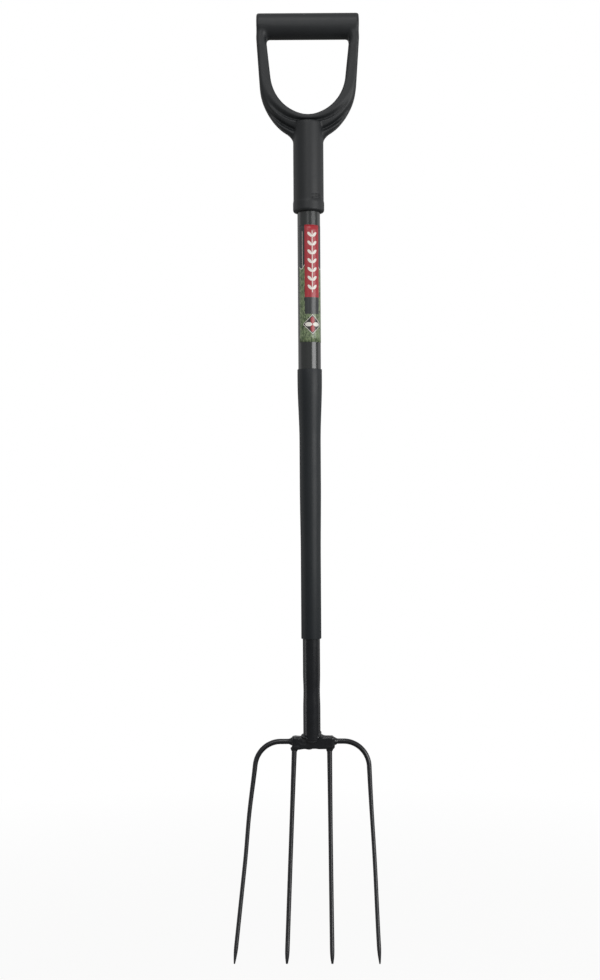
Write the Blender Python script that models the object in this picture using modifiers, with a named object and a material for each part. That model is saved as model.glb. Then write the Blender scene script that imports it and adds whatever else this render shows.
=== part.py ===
"""Four-tined fork with a moulded D-grip, hanging by its grip with the tines down.

Metres, +Z up. The front faces -Y. The origin is the middle of the crossbar's underside.
"""

import math

import bmesh
import bpy
from mathutils import Matrix, Vector
from mathutils.geometry import interpolate_bezier

# Clearance left between pieces that touch
GAP = 0.0003

# Crossbar of the moulded grip
CROSSBAR_LENGTH = 0.1286
CROSSBAR_DIAMETER = 0.0324
CROSSBAR_EDGE_ROUND = 0.002

# Hand opening of the grip: drops are measured down from the crossbar's underside
OPENING_WAIST_WIDTH = 0.094
OPENING_WAIST_DROP = 0.0490
OPENING_DROP = 0.0968
OPENING_CORNER_RADIUS = 0.011

# Arms and yoke of the grip
YOKE_DEPTH = 0.026
YOKE_EDGE_ROUND = 0.0035
YOKE_WEB = 0.010
SHOULDER_WIDTH = 0.1212
SHOULDER_DROP = 0.0607
FLARE_WIDTH = 0.0576
FLARE_DROP = 0.1164
FLARE_ANGLE = math.radians(33)
YOKE_DROP = 0.1347
YOKE_FOOT_DEPTH = 0.010
YOKE_TAPER = 0.022
ARM_TOP_WIDTH = 0.1292
ARM_THICKNESS = 0.0128
ARM_TOP_INSET = 0.0006

# Fullness of the curved edges, as shares of the height or width that each one covers
OPENING_SIDE_PULL = 0.7
OPENING_FOOT_PULL = 0.35
SHOULDER_PULL = 0.97
FLARE_PULL = 0.38
FILLET_PULL = 0.4

# Channels of the yoke, side by side below the opening, from a rise above its foot to the middle
INNER_RIM = 0.0063
UPPER_CHANNEL = 0.0042
MIDDLE_RIB = 0.006
LOWER_CHANNEL = 0.0055
UPPER_CHANNEL_RISE = 0.0268
LOWER_CHANNEL_RISE = 0.0232
CHANNEL_TIP = 0.12
CHANNEL_GROWTH = 1.6
CHANNEL_SPREAD = 0.35
CHANNEL_SPREAD_START = 0.45

# Socket of the grip
SOCKET_TOP_DROP = 0.1050
SOCKET_LENGTH = 0.1000
SOCKET_WALL = 0.0045
SOCKET_BORE = 0.095
COLLAR_HEIGHT = 0.0134
COLLAR_PROUD = 0.0006
COLLAR_CHAMFER = 0.0015

# Blind rivet at the back of the socket
RIVET_DROP = 0.1657
RIVET_SHANK_DIAMETER = 0.0044
RIVET_HEAD_DIAMETER = 0.008
RIVET_HEAD_HEIGHT = 0.0014
RIVET_TAIL_DIAMETER = 0.0064
RIVET_TAIL_LENGTH = 0.003
RIVET_HEAD_RIM = 0.0004
RIVET_SEAT_DEPTH = 0.0012

# Upper tube, swaged down to a neck at its foot
UPPER_DIAMETER = 0.0285
UPPER_WALL = 0.0012
UPPER_BARE_LENGTH = 0.1973
SWAGE_BELOW_SLEEVE_TOP = 0.014
SWAGE_LENGTH = 0.077
NECK_LENGTH = 0.055
NECK_WALL = 0.00105

# Printed label round the upper tube
LABEL_BELOW_COLLAR = 0.0175
LABEL_LENGTH = 0.1464
LABEL_THICKNESS = 0.0002
LABEL_START_ANGLE = math.radians(-57)
LABEL_WRAP = math.radians(300)

# Soft sleeve over the joint of the tubes
SLEEVE_LENGTH = 0.339
SLEEVE_WALL_TOP = 0.0009
SLEEVE_WALL_FOOT = 0.00135
SLEEVE_EDGE_ROUND = 0.0006
SLEEVE_SETTLE = 0.03

# Lower tube
LOWER_DIAMETER = 0.0217
LOWER_WALL = 0.0012
LOWER_BARE_LENGTH = 0.1223
SPIGOT_CLEARANCE = 0.003
WAIST_DROP = 0.066
WAIST_LENGTH = 0.014
WAIST_DEPTH = 0.0005
FOOT_LIP = 0.0043

# Cross pin through both tubes
PIN_DIAMETER = 0.005
PIN_ABOVE_NECK_END = 0.025

# Bridge bar that carries the tines
BRIDGE_LENGTH = 0.0545
BRIDGE_SHIFT = 0.0015
BRIDGE_HEIGHT = 0.017
BRIDGE_DEPTH = 0.014
BRIDGE_ROUND = 0.003

# Tines: drops are measured down from the level of the outer rods
ROD_DIAMETER = 0.0067
ROD_BELOW_BRIDGE_TOP = 0.0071
TINE_DIAMETER = 0.0052
DRAWN_LENGTH = 0.130
POINT_LENGTH = 0.018
POINT_DIAMETER = 0.0012
POINT_FULLNESS = 1.7
CORNER_RADIUS = 0.032
ROD_ROOT = 0.004
OUTER_SHOULDER_SPAN = 0.1434
OUTER_TIP_SPAN = 0.1765
OUTER_TIP_SHIFT = -0.0080
INNER_TOP_SPAN = 0.0442
INNER_TIP_SPAN = 0.0551
INNER_TIP_SHIFT = -0.0050
TIP_DROP = 0.2577
TIP_LEVEL_DIFFERENCE = -0.0011
TINE_FORWARD = 0.070
TINE_CURL = 0.45

# Weld beads: the shaft's ring is drawn in and sags in front and behind, where the tube laps the bridge
SHAFT_BEAD = 0.0068
SHAFT_BEAD_OUT = 0.001
SHAFT_BEAD_DRAW_IN = 0.0018
SHAFT_BEAD_RISE = 0.0006
SHAFT_BEAD_SAG = 0.0012
OUTER_BEAD = 0.0104
OUTER_BEAD_LENGTH = 0.0083
OUTER_BEAD_OUT = 0.0005
INNER_BEAD = 0.0096
INNER_BEAD_HEIGHT = 0.0069
INNER_BEAD_DROP = 0.0003

# Sides of the round pieces
TUBE_SIDES = 40
FASTENER_SIDES = 20
WIRE_RESOLUTION = 4

# How far a cutter runs past what it cuts
OVERCUT = 0.01

# Levels worked out from the sizes above
CROSSBAR_LEVEL = CROSSBAR_DIAMETER / 2
OPENING_TOP_WIDTH = ARM_TOP_WIDTH - 2 * ARM_THICKNESS
UPPER_RADIUS = UPPER_DIAMETER / 2
LOWER_RADIUS = LOWER_DIAMETER / 2
SOCKET_RADIUS = UPPER_RADIUS + GAP + SOCKET_WALL
YOKE_FOOT_HALF_WIDTH = math.sqrt(SOCKET_RADIUS ** 2 - (YOKE_FOOT_DEPTH / 2) ** 2) - GAP
SOCKET_TOP = -SOCKET_TOP_DROP
COLLAR_TOP = SOCKET_TOP - SOCKET_LENGTH
COLLAR_FOOT = COLLAR_TOP - COLLAR_HEIGHT
UPPER_TOP = COLLAR_FOOT + SOCKET_BORE - GAP
SLEEVE_TOP = COLLAR_FOOT - UPPER_BARE_LENGTH
SLEEVE_FOOT = SLEEVE_TOP - SLEEVE_LENGTH
SWAGE_TOP = SLEEVE_TOP - SWAGE_BELOW_SLEEVE_TOP
NECK_TOP = SWAGE_TOP - SWAGE_LENGTH
NECK_FOOT = NECK_TOP - NECK_LENGTH
NECK_RADIUS = LOWER_RADIUS + GAP + NECK_WALL
LOWER_TOP = NECK_TOP - SPIGOT_CLEARANCE
BRIDGE_TOP = SLEEVE_FOOT - LOWER_BARE_LENGTH
BRIDGE_FOOT = BRIDGE_TOP - BRIDGE_HEIGHT
ROD_LEVEL = BRIDGE_TOP - ROD_BELOW_BRIDGE_TOP
FOOT_LEVEL = BRIDGE_TOP - FOOT_LIP


def clear_scene():
    for thing in list(bpy.data.objects):
        bpy.data.objects.remove(thing, do_unlink=True)


def new_collection(name):
    collection = bpy.data.collections.new(name)
    bpy.context.scene.collection.children.link(collection)
    return collection


def make_material(name, colour, roughness, metallic=0.0):
    material = bpy.data.materials.new(name)
    material.use_nodes = True
    shader = material.node_tree.nodes["Principled BSDF"]
    shader.inputs["Base Color"].default_value = (*colour, 1.0)
    shader.inputs["Roughness"].default_value = roughness
    shader.inputs["Metallic"].default_value = metallic
    return material


def add_part(name, mesh, material):
    """A sub-part of the fork, shaded smooth except at its sharp edges."""
    part = bpy.data.objects.new(name, mesh)
    PARTS.objects.link(part)
    mesh.materials.clear()
    mesh.materials.append(material)
    mesh.shade_smooth()
    mesh.set_sharp_from_angle(angle=math.radians(40))
    return part


def add_cutter(name, mesh):
    cutter = bpy.data.objects.new(name, mesh)
    CUTTERS.objects.link(cutter)
    cutter.hide_render = True
    cutter.display_type = "WIRE"
    return cutter


def combine(part, other, operation):
    """Joins or cuts with EXACT booleans, kept live on the part."""
    modifier = part.modifiers.new(other.name, "BOOLEAN")
    modifier.operation = operation
    modifier.object = other


def mesh_from(builder, name):
    """A mesh made by a function that fills a bmesh."""
    bm = bmesh.new()
    builder(bm)
    mesh = bpy.data.meshes.new(name)
    bm.to_mesh(mesh)
    bm.free()
    return mesh


def mesh_of(source, name):
    """The welded mesh of a curve, or of an object with modifiers, whose source is then removed."""
    bpy.context.view_layer.update()
    evaluated = source.evaluated_get(bpy.context.evaluated_depsgraph_get())
    mesh = bpy.data.meshes.new_from_object(evaluated)
    mesh.name = name
    mesh.transform(source.matrix_world)
    data = source.data
    bpy.data.objects.remove(source, do_unlink=True)
    if isinstance(data, bpy.types.Curve):
        bpy.data.curves.remove(data)
    else:
        bpy.data.meshes.remove(data)
    bm = bmesh.new()
    bm.from_mesh(mesh)
    bmesh.ops.remove_doubles(bm, verts=bm.verts, dist=1e-6)
    bmesh.ops.recalc_face_normals(bm, faces=bm.faces)
    bm.to_mesh(mesh)
    bm.free()
    return mesh


def cylinder_mesh(name, radius, length, matrix, sides=TUBE_SIDES):
    def build(bm):
        bmesh.ops.create_cone(bm, cap_ends=True, segments=sides, radius1=radius, radius2=radius,
                              depth=length, matrix=matrix)
    return mesh_from(build, name)


def turned_mesh(name, profile, closed, sides=TUBE_SIDES):
    """A profile of (radius, height) points turned about Z. It runs down the outer side."""
    mesh = bpy.data.meshes.new(name)
    last = len(profile) if closed else len(profile) - 1
    edges = [(i, (i + 1) % len(profile)) for i in range(last)]
    mesh.from_pydata([(radius, 0.0, height) for radius, height in profile], edges, [])
    blank = bpy.data.objects.new(name, mesh)
    CUTTERS.objects.link(blank)
    screw = blank.modifiers.new("Turn", "SCREW")
    screw.axis = "Z"
    screw.steps = sides
    screw.render_steps = sides
    screw.use_merge_vertices = True
    screw.merge_threshold = 0.00001
    return mesh_of(blank, name)


def wire_mesh(name, points, radii, thickness, cyclic=False):
    """A round wire through points, as thick at each point as its radius says, with filled ends."""
    curve = bpy.data.curves.new(name, "CURVE")
    curve.dimensions = "3D"
    curve.bevel_depth = thickness
    curve.bevel_resolution = WIRE_RESOLUTION
    curve.use_fill_caps = not cyclic
    spline = curve.splines.new("POLY")
    spline.points.add(len(points) - 1)
    spline.use_cyclic_u = cyclic
    for node, point, radius in zip(spline.points, points, radii):
        node.co = (*point, 1.0)
        node.radius = radius / thickness
    wire = bpy.data.objects.new(name, curve)
    CUTTERS.objects.link(wire)
    return mesh_of(wire, name)


def plate_mesh(name, outline, depth):
    """A flat plate in the XZ plane, centred on it, from an outline of (x, z) points."""
    curve = bpy.data.curves.new(name, "CURVE")
    curve.dimensions = "2D"
    curve.fill_mode = "BOTH"
    curve.extrude = depth / 2
    spline = curve.splines.new("POLY")
    spline.points.add(len(outline) - 1)
    spline.use_cyclic_u = True
    for node, (x, z) in zip(spline.points, outline):
        node.co = (x, z, 0.0, 1.0)
    plate = bpy.data.objects.new(name, curve)
    plate.rotation_euler.x = math.radians(90)
    CUTTERS.objects.link(plate)
    return mesh_of(plate, name)


def smooth_step(share):
    return share * share * (3 - 2 * share)


def bezier(start, start_handle, end_handle, end, count):
    """Points (x, z) along a cubic, its last point left out."""
    ends = [Vector(p) for p in (start, start_handle, end_handle, end)]
    return [tuple(point) for point in interpolate_bezier(*ends, count + 1)[:-1]]


def arc(centre, radius, start, end, count):
    """Points (x, z) along an arc. Angles are measured from +X towards +Z."""
    angles = [start + (end - start) * i / count for i in range(count + 1)]
    return [(centre[0] + radius * math.cos(a), centre[1] + radius * math.sin(a)) for a in angles]


def opening_side_ends():
    """Ends and handles of the cubic from the opening's waist to its lowest point, on the +X side."""
    waist = Vector((OPENING_WAIST_WIDTH / 2, -OPENING_WAIST_DROP))
    top = Vector((OPENING_TOP_WIDTH / 2, 0.0))
    low = Vector((0.0, -OPENING_DROP))
    height = OPENING_DROP - OPENING_WAIST_DROP
    side_handle = waist + (waist - top).normalized() * OPENING_SIDE_PULL * height
    return waist, side_handle, low + Vector((OPENING_FOOT_PULL * height, 0.0)), low


def opening_side(count):
    return bezier(*opening_side_ends(), count) + [(0.0, -OPENING_DROP)]


def mirrored(half):
    """Closes a half outline, which starts and ends on the middle line, with its mirror image."""
    return half + [(-x, z) for x, z in reversed(half[1:-1])]


def opening_half():
    """The +X half of the hand opening. Its top lies inside the crossbar, whose underside closes it."""
    top_level = CROSSBAR_LEVEL - math.sqrt(max(CROSSBAR_LEVEL ** 2 - (YOKE_DEPTH / 2) ** 2, 0.0)) + GAP
    radius = OPENING_CORNER_RADIUS
    corner = (OPENING_TOP_WIDTH / 2 - radius, top_level - radius)
    return [(0.0, top_level)] + arc(corner, radius, math.pi / 2, 0.0, 6) + opening_side(18)


def yoke_half():
    """The +X half of arms and yoke: down its outer side, in to the middle and back round the opening."""
    end = (CROSSBAR_LENGTH / 2 - ARM_TOP_INSET, CROSSBAR_LEVEL)
    top = Vector((ARM_TOP_WIDTH / 2, 0.0))
    shoulder = Vector((SHOULDER_WIDTH / 2, -SHOULDER_DROP))
    flare = Vector((FLARE_WIDTH / 2, -FLARE_DROP))
    neck = Vector((YOKE_FOOT_HALF_WIDTH, -YOKE_DROP))
    tail = Vector((YOKE_FOOT_HALF_WIDTH * 0.65, -YOKE_DROP - YOKE_FOOT_HALF_WIDTH * 0.5))
    down = (shoulder - top).normalized()
    slope = Vector((math.cos(FLARE_ANGLE), math.sin(FLARE_ANGLE)))
    fall = SHOULDER_WIDTH / 2 - FLARE_WIDTH / 2
    pulls = (shoulder + down * SHOULDER_PULL * fall, flare + slope * FLARE_PULL * fall)
    side = bezier(shoulder, *pulls, flare, 12)
    pull = FILLET_PULL * (neck - flare).length
    fillet = bezier(flare, flare - slope * pull, neck + Vector((0.0, pull)), neck, 6)
    outside = [(0.0, CROSSBAR_LEVEL), end, tuple(top)] + side + fillet
    return outside + [tuple(neck), tuple(tail), (0.0, tail.y)] + opening_half()[::-1]


def yoke_side_outline():
    """The yoke seen from the side, as (y, z) points: even, then thinner where it runs into the socket."""
    deep, thin = YOKE_DEPTH / 2, YOKE_FOOT_DEPTH / 2
    top, taper, foot = CROSSBAR_LEVEL + OVERCUT, YOKE_TAPER - YOKE_DROP, -YOKE_DROP - 2 * OVERCUT
    count = 5
    half = [(0.0, top), (deep + OVERCUT, top), (deep + OVERCUT, taper), (deep, taper)]
    for i in range(1, count + 1):
        half.append((deep + (thin - deep) * smooth_step(i / count), taper - YOKE_TAPER * i / count))
    return mirrored(half + [(thin, foot), (0.0, foot)])


def channel_outline(rise, near, far, side):
    """A tapering channel that follows the opening's edge. near and far are its distances from that edge."""
    steps, count = 60, 12
    edge = interpolate_bezier(*opening_side_ends(), steps + 1)
    first = next(i for i, point in enumerate(edge) if point.y <= rise - OPENING_DROP)
    last = steps - 1
    rows = []
    for i in range(count + 1):
        place = (first + (last - first) * i / count) / steps
        index = round(place * steps)
        along = (edge[index + 1] - edge[index - 1]).normalized()
        outward = Vector((-along.y, along.x))
        growth = min(1.0, CHANNEL_TIP + CHANNEL_GROWTH * i / count)
        widening = 1.0 + CHANNEL_SPREAD * max(0.0, place - CHANNEL_SPREAD_START)
        middle = edge[index] + outward * (near + far) / 2 * widening
        half_width = outward * (far - near) / 2 * growth * widening
        rows.append((middle - half_width, middle + half_width))
    rows.append([Vector((-point.x, point.y)) for point in rows[-1]])
    loop = [row[0] for row in rows] + [row[1] for row in reversed(rows)]
    return [(side * point.x, point.y) for point in loop]


def round_half_plate(mesh, width):
    """Rounds the rims of a half plate's two flat faces, and opens it at the plane x = 0."""
    bm = bmesh.new()
    bm.from_mesh(mesh)
    flats = [face for face in bm.faces if abs(face.normal.y) > 0.9]
    flats = bmesh.ops.dissolve_faces(bm, faces=flats)["region"]
    rims = {edge for face in flats for edge in face.edges
            if max(abs(vert.co.x) for vert in edge.verts) > 1e-6}
    bmesh.ops.bevel(bm, geom=list(rims), offset=width, segments=3, profile=0.5, affect="EDGES", material=-1)
    cut = [face for face in bm.faces if max(abs(vert.co.x) for vert in face.verts) < 1e-6]
    bmesh.ops.delete(bm, geom=cut, context="FACES")
    bm.to_mesh(mesh)
    bm.free()


def make_yoke():
    """Arms and ribbed yoke, with two channels a side, front and back."""
    mesh = plate_mesh("yoke", yoke_half(), YOKE_DEPTH)
    round_half_plate(mesh, YOKE_EDGE_ROUND)
    yoke = add_cutter("yoke", mesh)
    mirror = yoke.modifiers.new("Other half", "MIRROR")
    mirror.merge_threshold = 0.00001
    side = plate_mesh("yoke_side", yoke_side_outline(), CROSSBAR_LENGTH + 2 * OVERCUT)
    side.transform(Matrix.Rotation(math.pi / 2, 4, "Z"))
    combine(yoke, add_cutter("yoke_side", side), "INTERSECT")
    near_lower = INNER_RIM + UPPER_CHANNEL + MIDDLE_RIB
    channels = {
        "upper": (UPPER_CHANNEL_RISE, INNER_RIM, INNER_RIM + UPPER_CHANNEL),
        "lower": (LOWER_CHANNEL_RISE, near_lower, near_lower + LOWER_CHANNEL),
    }
    floor = YOKE_WEB / 2
    height = YOKE_DEPTH / 2 - floor + OVERCUT
    for level, sizes in channels.items():
        for side in (-1, 1):
            for face in (-1, 1):
                name = f"{level}_channel_{side}_{face}"
                cut = plate_mesh(name, channel_outline(*sizes, side), height)
                cut.transform(Matrix.Translation((0.0, face * (floor + height / 2), 0.0)))
                combine(yoke, add_cutter(name, cut), "DIFFERENCE")
    return yoke


def make_crossbar():
    def build(bm):
        turn = Matrix.Translation((0.0, 0.0, CROSSBAR_LEVEL)) @ Matrix.Rotation(math.pi / 2, 4, "Y")
        bmesh.ops.create_cone(bm, cap_ends=True, segments=TUBE_SIDES, radius1=CROSSBAR_LEVEL,
                              radius2=CROSSBAR_LEVEL, depth=CROSSBAR_LENGTH, matrix=turn)
        rims = [edge for edge in bm.edges if abs(edge.verts[0].co.x - edge.verts[1].co.x) < 1e-6]
        bmesh.ops.bevel(bm, geom=rims, offset=CROSSBAR_EDGE_ROUND, segments=2, profile=0.5,
                        affect="EDGES", material=-1)
    return add_cutter("crossbar", mesh_from(build, "crossbar"))


def make_grip(material):
    """The one-piece moulded grip: socket and collar, with the yoke and crossbar joined to them."""
    collar = SOCKET_RADIUS + COLLAR_PROUD
    profile = [
        (0.0, SOCKET_TOP),
        (SOCKET_RADIUS, SOCKET_TOP),
        (SOCKET_RADIUS, COLLAR_TOP),
        (collar, COLLAR_TOP - COLLAR_PROUD),
        (collar, COLLAR_FOOT + COLLAR_CHAMFER),
        (collar - COLLAR_CHAMFER, COLLAR_FOOT),
        (0.0, COLLAR_FOOT),
    ]
    grip = add_part("d_grip", turned_mesh("d_grip", profile, closed=False), material)
    combine(grip, make_yoke(), "UNION")
    combine(grip, make_crossbar(), "UNION")
    middle = COLLAR_FOOT + (SOCKET_BORE - OVERCUT) / 2
    bore = cylinder_mesh("socket_bore", UPPER_RADIUS + GAP, SOCKET_BORE + OVERCUT,
                         Matrix.Translation((0.0, 0.0, middle)))
    combine(grip, add_cutter("socket_bore", bore), "DIFFERENCE")
    seat = cylinder_mesh("rivet_seat", RIVET_HEAD_DIAMETER / 2 + GAP, OVERCUT,
                         rivet_place(SOCKET_RADIUS - RIVET_SEAT_DEPTH + OVERCUT / 2), FASTENER_SIDES)
    combine(grip, add_cutter("rivet_seat", seat), "DIFFERENCE")
    combine(grip, rivet_hole("socket_rivet_hole"), "DIFFERENCE")
    return grip


def rivet_place(distance):
    """A place on the rivet's axis, which points to the back, at a distance from the tube's axis."""
    return Matrix.Translation((0.0, distance, -RIVET_DROP)) @ Matrix.Rotation(-math.pi / 2, 4, "X")


def rivet_hole(name):
    """A radial hole through the back walls of socket and tube."""
    length = SOCKET_RADIUS
    hole = cylinder_mesh(name, RIVET_SHANK_DIAMETER / 2 + GAP, length,
                         rivet_place(SOCKET_RADIUS / 2 + length / 2), FASTENER_SIDES)
    return add_cutter(name, hole)


def make_rivet(material):
    """A blind rivet: domed head on the socket, shank through both walls, swollen tail inside the tube."""
    head = RIVET_HEAD_DIAMETER / 2
    shank = RIVET_SHANK_DIAMETER / 2
    tail = RIVET_TAIL_DIAMETER / 2
    seat = SOCKET_RADIUS - RIVET_SEAT_DEPTH + GAP
    inner_wall = math.sqrt((UPPER_RADIUS - UPPER_WALL) ** 2 - tail ** 2) - GAP
    rise = RIVET_HEAD_HEIGHT - RIVET_HEAD_RIM
    dome = [(head * math.cos(a), seat + RIVET_HEAD_RIM + rise * math.sin(a))
            for a in (math.radians(d) for d in (60, 30, 0))]
    profile = [
        (0.0, seat + RIVET_HEAD_HEIGHT),
        *dome,
        (head, seat),
        (shank, seat),
        (shank, inner_wall),
        (tail, inner_wall - RIVET_TAIL_LENGTH * 0.3),
        (tail * 0.8, inner_wall - RIVET_TAIL_LENGTH),
        (0.0, inner_wall - RIVET_TAIL_LENGTH),
    ]
    turned = turned_mesh("grip_rivet", profile, closed=False, sides=FASTENER_SIDES)
    rivet = add_part("grip_rivet", turned, material)
    rivet.matrix_world = rivet_place(0.0)
    return rivet


def swage(start, end, count=6):
    """Profile points down the swage, from one radius to the other."""
    drops = [i / count for i in range(count + 1)]
    return [(start + (end - start) * smooth_step(s), SWAGE_TOP - SWAGE_LENGTH * s) for s in drops]


def make_upper_shaft(material):
    """A steel tube, its foot swaged to a neck that holds the lower tube."""
    outer = [(UPPER_RADIUS, UPPER_TOP)] + swage(UPPER_RADIUS, NECK_RADIUS) + [(NECK_RADIUS, NECK_FOOT)]
    inside = NECK_RADIUS - NECK_WALL
    inner = [(inside, NECK_FOOT)] + swage(UPPER_RADIUS - UPPER_WALL, inside)[::-1]
    inner.append((UPPER_RADIUS - UPPER_WALL, UPPER_TOP))
    tube = add_part("upper_shaft", turned_mesh("upper_shaft", outer + inner, closed=True), material)
    combine(tube, rivet_hole("tube_rivet_hole"), "DIFFERENCE")
    combine(tube, pin_hole("neck_pin_hole"), "DIFFERENCE")
    return tube


def make_lower_shaft(material):
    """A steel tube: spigot in the neck above, a slight waist, and a foot coped over the bridge."""
    waist = BRIDGE_TOP + LOWER_BARE_LENGTH - WAIST_DROP
    half = WAIST_LENGTH / 2
    narrow = LOWER_RADIUS - WAIST_DEPTH
    outer = [(LOWER_RADIUS, LOWER_TOP), (LOWER_RADIUS, waist + half), (narrow, waist + half * 0.3),
             (narrow, waist - half * 0.3), (LOWER_RADIUS, waist - half), (LOWER_RADIUS, FOOT_LEVEL)]
    inner = [(radius - LOWER_WALL, height) for radius, height in reversed(outer)]
    tube = add_part("lower_shaft", turned_mesh("lower_shaft", outer + inner, closed=True), material)
    combine(tube, pin_hole("spigot_pin_hole"), "DIFFERENCE")
    combine(tube, bridge_cutter("foot_cope"), "DIFFERENCE")
    return tube


def pin_place():
    level = NECK_FOOT + PIN_ABOVE_NECK_END
    return Matrix.Translation((0.0, 0.0, level)) @ Matrix.Rotation(math.pi / 2, 4, "X")


def pin_hole(name):
    length = 2 * (NECK_RADIUS + OVERCUT)
    return add_cutter(name, cylinder_mesh(name, PIN_DIAMETER / 2 + GAP, length, pin_place(), FASTENER_SIDES))


def make_joint_pin(material):
    """A plain pin through neck and spigot, its ends flush under the sleeve."""
    length = 2 * math.sqrt(NECK_RADIUS ** 2 - (PIN_DIAMETER / 2) ** 2)
    pin = cylinder_mesh("joint_pin", PIN_DIAMETER / 2, length, pin_place(), FASTENER_SIDES)
    return add_part("joint_pin", pin, material)


def make_label(material):
    """Printed film, most of the way round the upper tube."""
    radius = UPPER_RADIUS + GAP
    top = COLLAR_FOOT - LABEL_BELOW_COLLAR
    count = 30

    def build(bm):
        row = []
        for i in range(count + 1):
            angle = LABEL_START_ANGLE + LABEL_WRAP * i / count
            place = (radius * math.sin(angle), -radius * math.cos(angle), top - LABEL_LENGTH)
            row.append(bm.verts.new(place))
        edges = [bm.edges.new(pair) for pair in zip(row, row[1:])]
        raised = bmesh.ops.extrude_edge_only(bm, edges=edges)["geom"]
        verts = [item for item in raised if isinstance(item, bmesh.types.BMVert)]
        bmesh.ops.translate(bm, verts=verts, vec=(0.0, 0.0, LABEL_LENGTH))
        bmesh.ops.recalc_face_normals(bm, faces=bm.faces)
        bm.faces.ensure_lookup_table()
        face = bm.faces[0]
        middle = face.calc_center_median()
        if face.normal.dot(Vector((middle.x, middle.y, 0.0))) < 0:
            bmesh.ops.reverse_faces(bm, faces=bm.faces)

    film = add_part("label", mesh_from(build, "label"), material)
    wall = film.modifiers.new("Film", "SOLIDIFY")
    wall.thickness = LABEL_THICKNESS
    wall.offset = 1.0
    return film


def make_sleeve(material):
    """A soft tube drawn over the swage, the neck and the lower tube."""
    upper_bore = UPPER_RADIUS + GAP
    neck_bore = NECK_RADIUS + GAP
    lower_bore = LOWER_RADIUS + GAP
    top_wall, foot_wall, edge = SLEEVE_WALL_TOP, SLEEVE_WALL_FOOT, SLEEVE_EDGE_ROUND
    outer = [(upper_bore + top_wall - edge, SLEEVE_TOP), (upper_bore + top_wall, SLEEVE_TOP - edge)]
    outer += swage(upper_bore + top_wall, neck_bore + top_wall)
    outer += [(neck_bore + top_wall, NECK_FOOT), (lower_bore + foot_wall, NECK_FOOT - SLEEVE_SETTLE)]
    outer += [(lower_bore + foot_wall, SLEEVE_FOOT + edge), (lower_bore + foot_wall - edge, SLEEVE_FOOT)]
    inner = [(lower_bore, SLEEVE_FOOT), (lower_bore, NECK_FOOT - SLEEVE_SETTLE / 3)]
    inner += [(neck_bore, NECK_FOOT - GAP)] + swage(upper_bore, neck_bore)[::-1] + [(upper_bore, SLEEVE_TOP)]
    return add_part("shaft_sleeve", turned_mesh("shaft_sleeve", outer + inner, closed=True), material)


def bridge_mesh(name, clearance):
    """The rounded bar, grown by a clearance all round."""
    size = (BRIDGE_LENGTH, BRIDGE_DEPTH, BRIDGE_HEIGHT)
    middle = Matrix.Translation((BRIDGE_SHIFT, 0.0, (BRIDGE_TOP + BRIDGE_FOOT) / 2))

    def build(bm):
        bmesh.ops.create_cube(bm, size=1.0)
        bmesh.ops.scale(bm, verts=bm.verts, vec=[length + 2 * clearance for length in size])
        bmesh.ops.bevel(bm, geom=bm.edges[:], offset=BRIDGE_ROUND + clearance, segments=3, profile=0.5,
                        affect="EDGES", material=-1)
        bmesh.ops.transform(bm, matrix=middle, verts=bm.verts)

    return mesh_from(build, name)


def bridge_cutter(name):
    return add_cutter(name, bridge_mesh(name, GAP))


def forward(level):
    """How far in front of the shaft's plane a tine lies at a level."""
    share = max(0.0, (ROD_LEVEL - level) / TIP_DROP)
    return -TINE_FORWARD * ((1 - TINE_CURL) * share + TINE_CURL * share * share)


def tine_radius(level, tip_level):
    """The rod is drawn thinner over its first stretch, runs even, then narrows to a blunt point."""
    drawn = max(0.0, 1 - max(0.0, ROD_LEVEL - level) / DRAWN_LENGTH)
    radius = (TINE_DIAMETER + (ROD_DIAMETER - TINE_DIAMETER) * drawn * drawn) / 2
    to_tip = (level - tip_level) / POINT_LENGTH
    if to_tip >= 1:
        return radius
    blunt = POINT_DIAMETER / 2
    return blunt + (radius - blunt) * (1 - (1 - max(0.0, to_tip)) ** POINT_FULLNESS)


def tip_level_at(x):
    """The points' line runs a little lower on the right."""
    return ROD_LEVEL - TIP_DROP + TIP_LEVEL_DIFFERENCE * x / OUTER_TIP_SPAN


def straight_levels(start, tip_level):
    """Levels down the straight of a tine, closer together at its point."""
    point_top = tip_level + POINT_LENGTH
    body = [start + (point_top - start) * i / 10 for i in range(11)]
    return body + [point_top - POINT_LENGTH * share for share in (0.35, 0.65, 0.85, 1.0)]


def outer_path(side):
    """(x, z) points: out of the bridge's end, round the corner and straight down to the point."""
    centre = Vector((side * (OUTER_SHOULDER_SPAN / 2 - CORNER_RADIUS), ROD_LEVEL - CORNER_RADIUS))
    tip_x = side * OUTER_TIP_SPAN / 2 + OUTER_TIP_SHIFT
    tip = Vector((tip_x, tip_level_at(tip_x)))
    reach = tip - centre
    turned = math.atan2(reach.y, side * reach.x) + math.acos(CORNER_RADIUS / reach.length)
    corner = arc((0.0, centre.y), CORNER_RADIUS, math.pi / 2, turned, 9)
    corner = [(centre.x + side * x, z) for x, z in corner]
    start = [(BRIDGE_SHIFT + side * (BRIDGE_LENGTH / 2 - ROD_ROOT), ROD_LEVEL)]
    end_x, end_z = corner[-1]
    slope = (tip.x - end_x) / (tip.y - end_z)
    straight = [(end_x + slope * (z - end_z), z) for z in straight_levels(end_z, tip.y)[1:]]
    return start + corner + straight


def inner_path(side):
    """(x, z) points: out of the bridge's underside, down to the point."""
    top_x = side * INNER_TOP_SPAN / 2
    tip_x = side * INNER_TIP_SPAN / 2 + INNER_TIP_SHIFT
    top = BRIDGE_FOOT + ROD_ROOT
    tip = tip_level_at(tip_x)
    return [(top_x + (tip_x - top_x) * (z - top) / (tip - top), z) for z in straight_levels(top, tip)]


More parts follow.
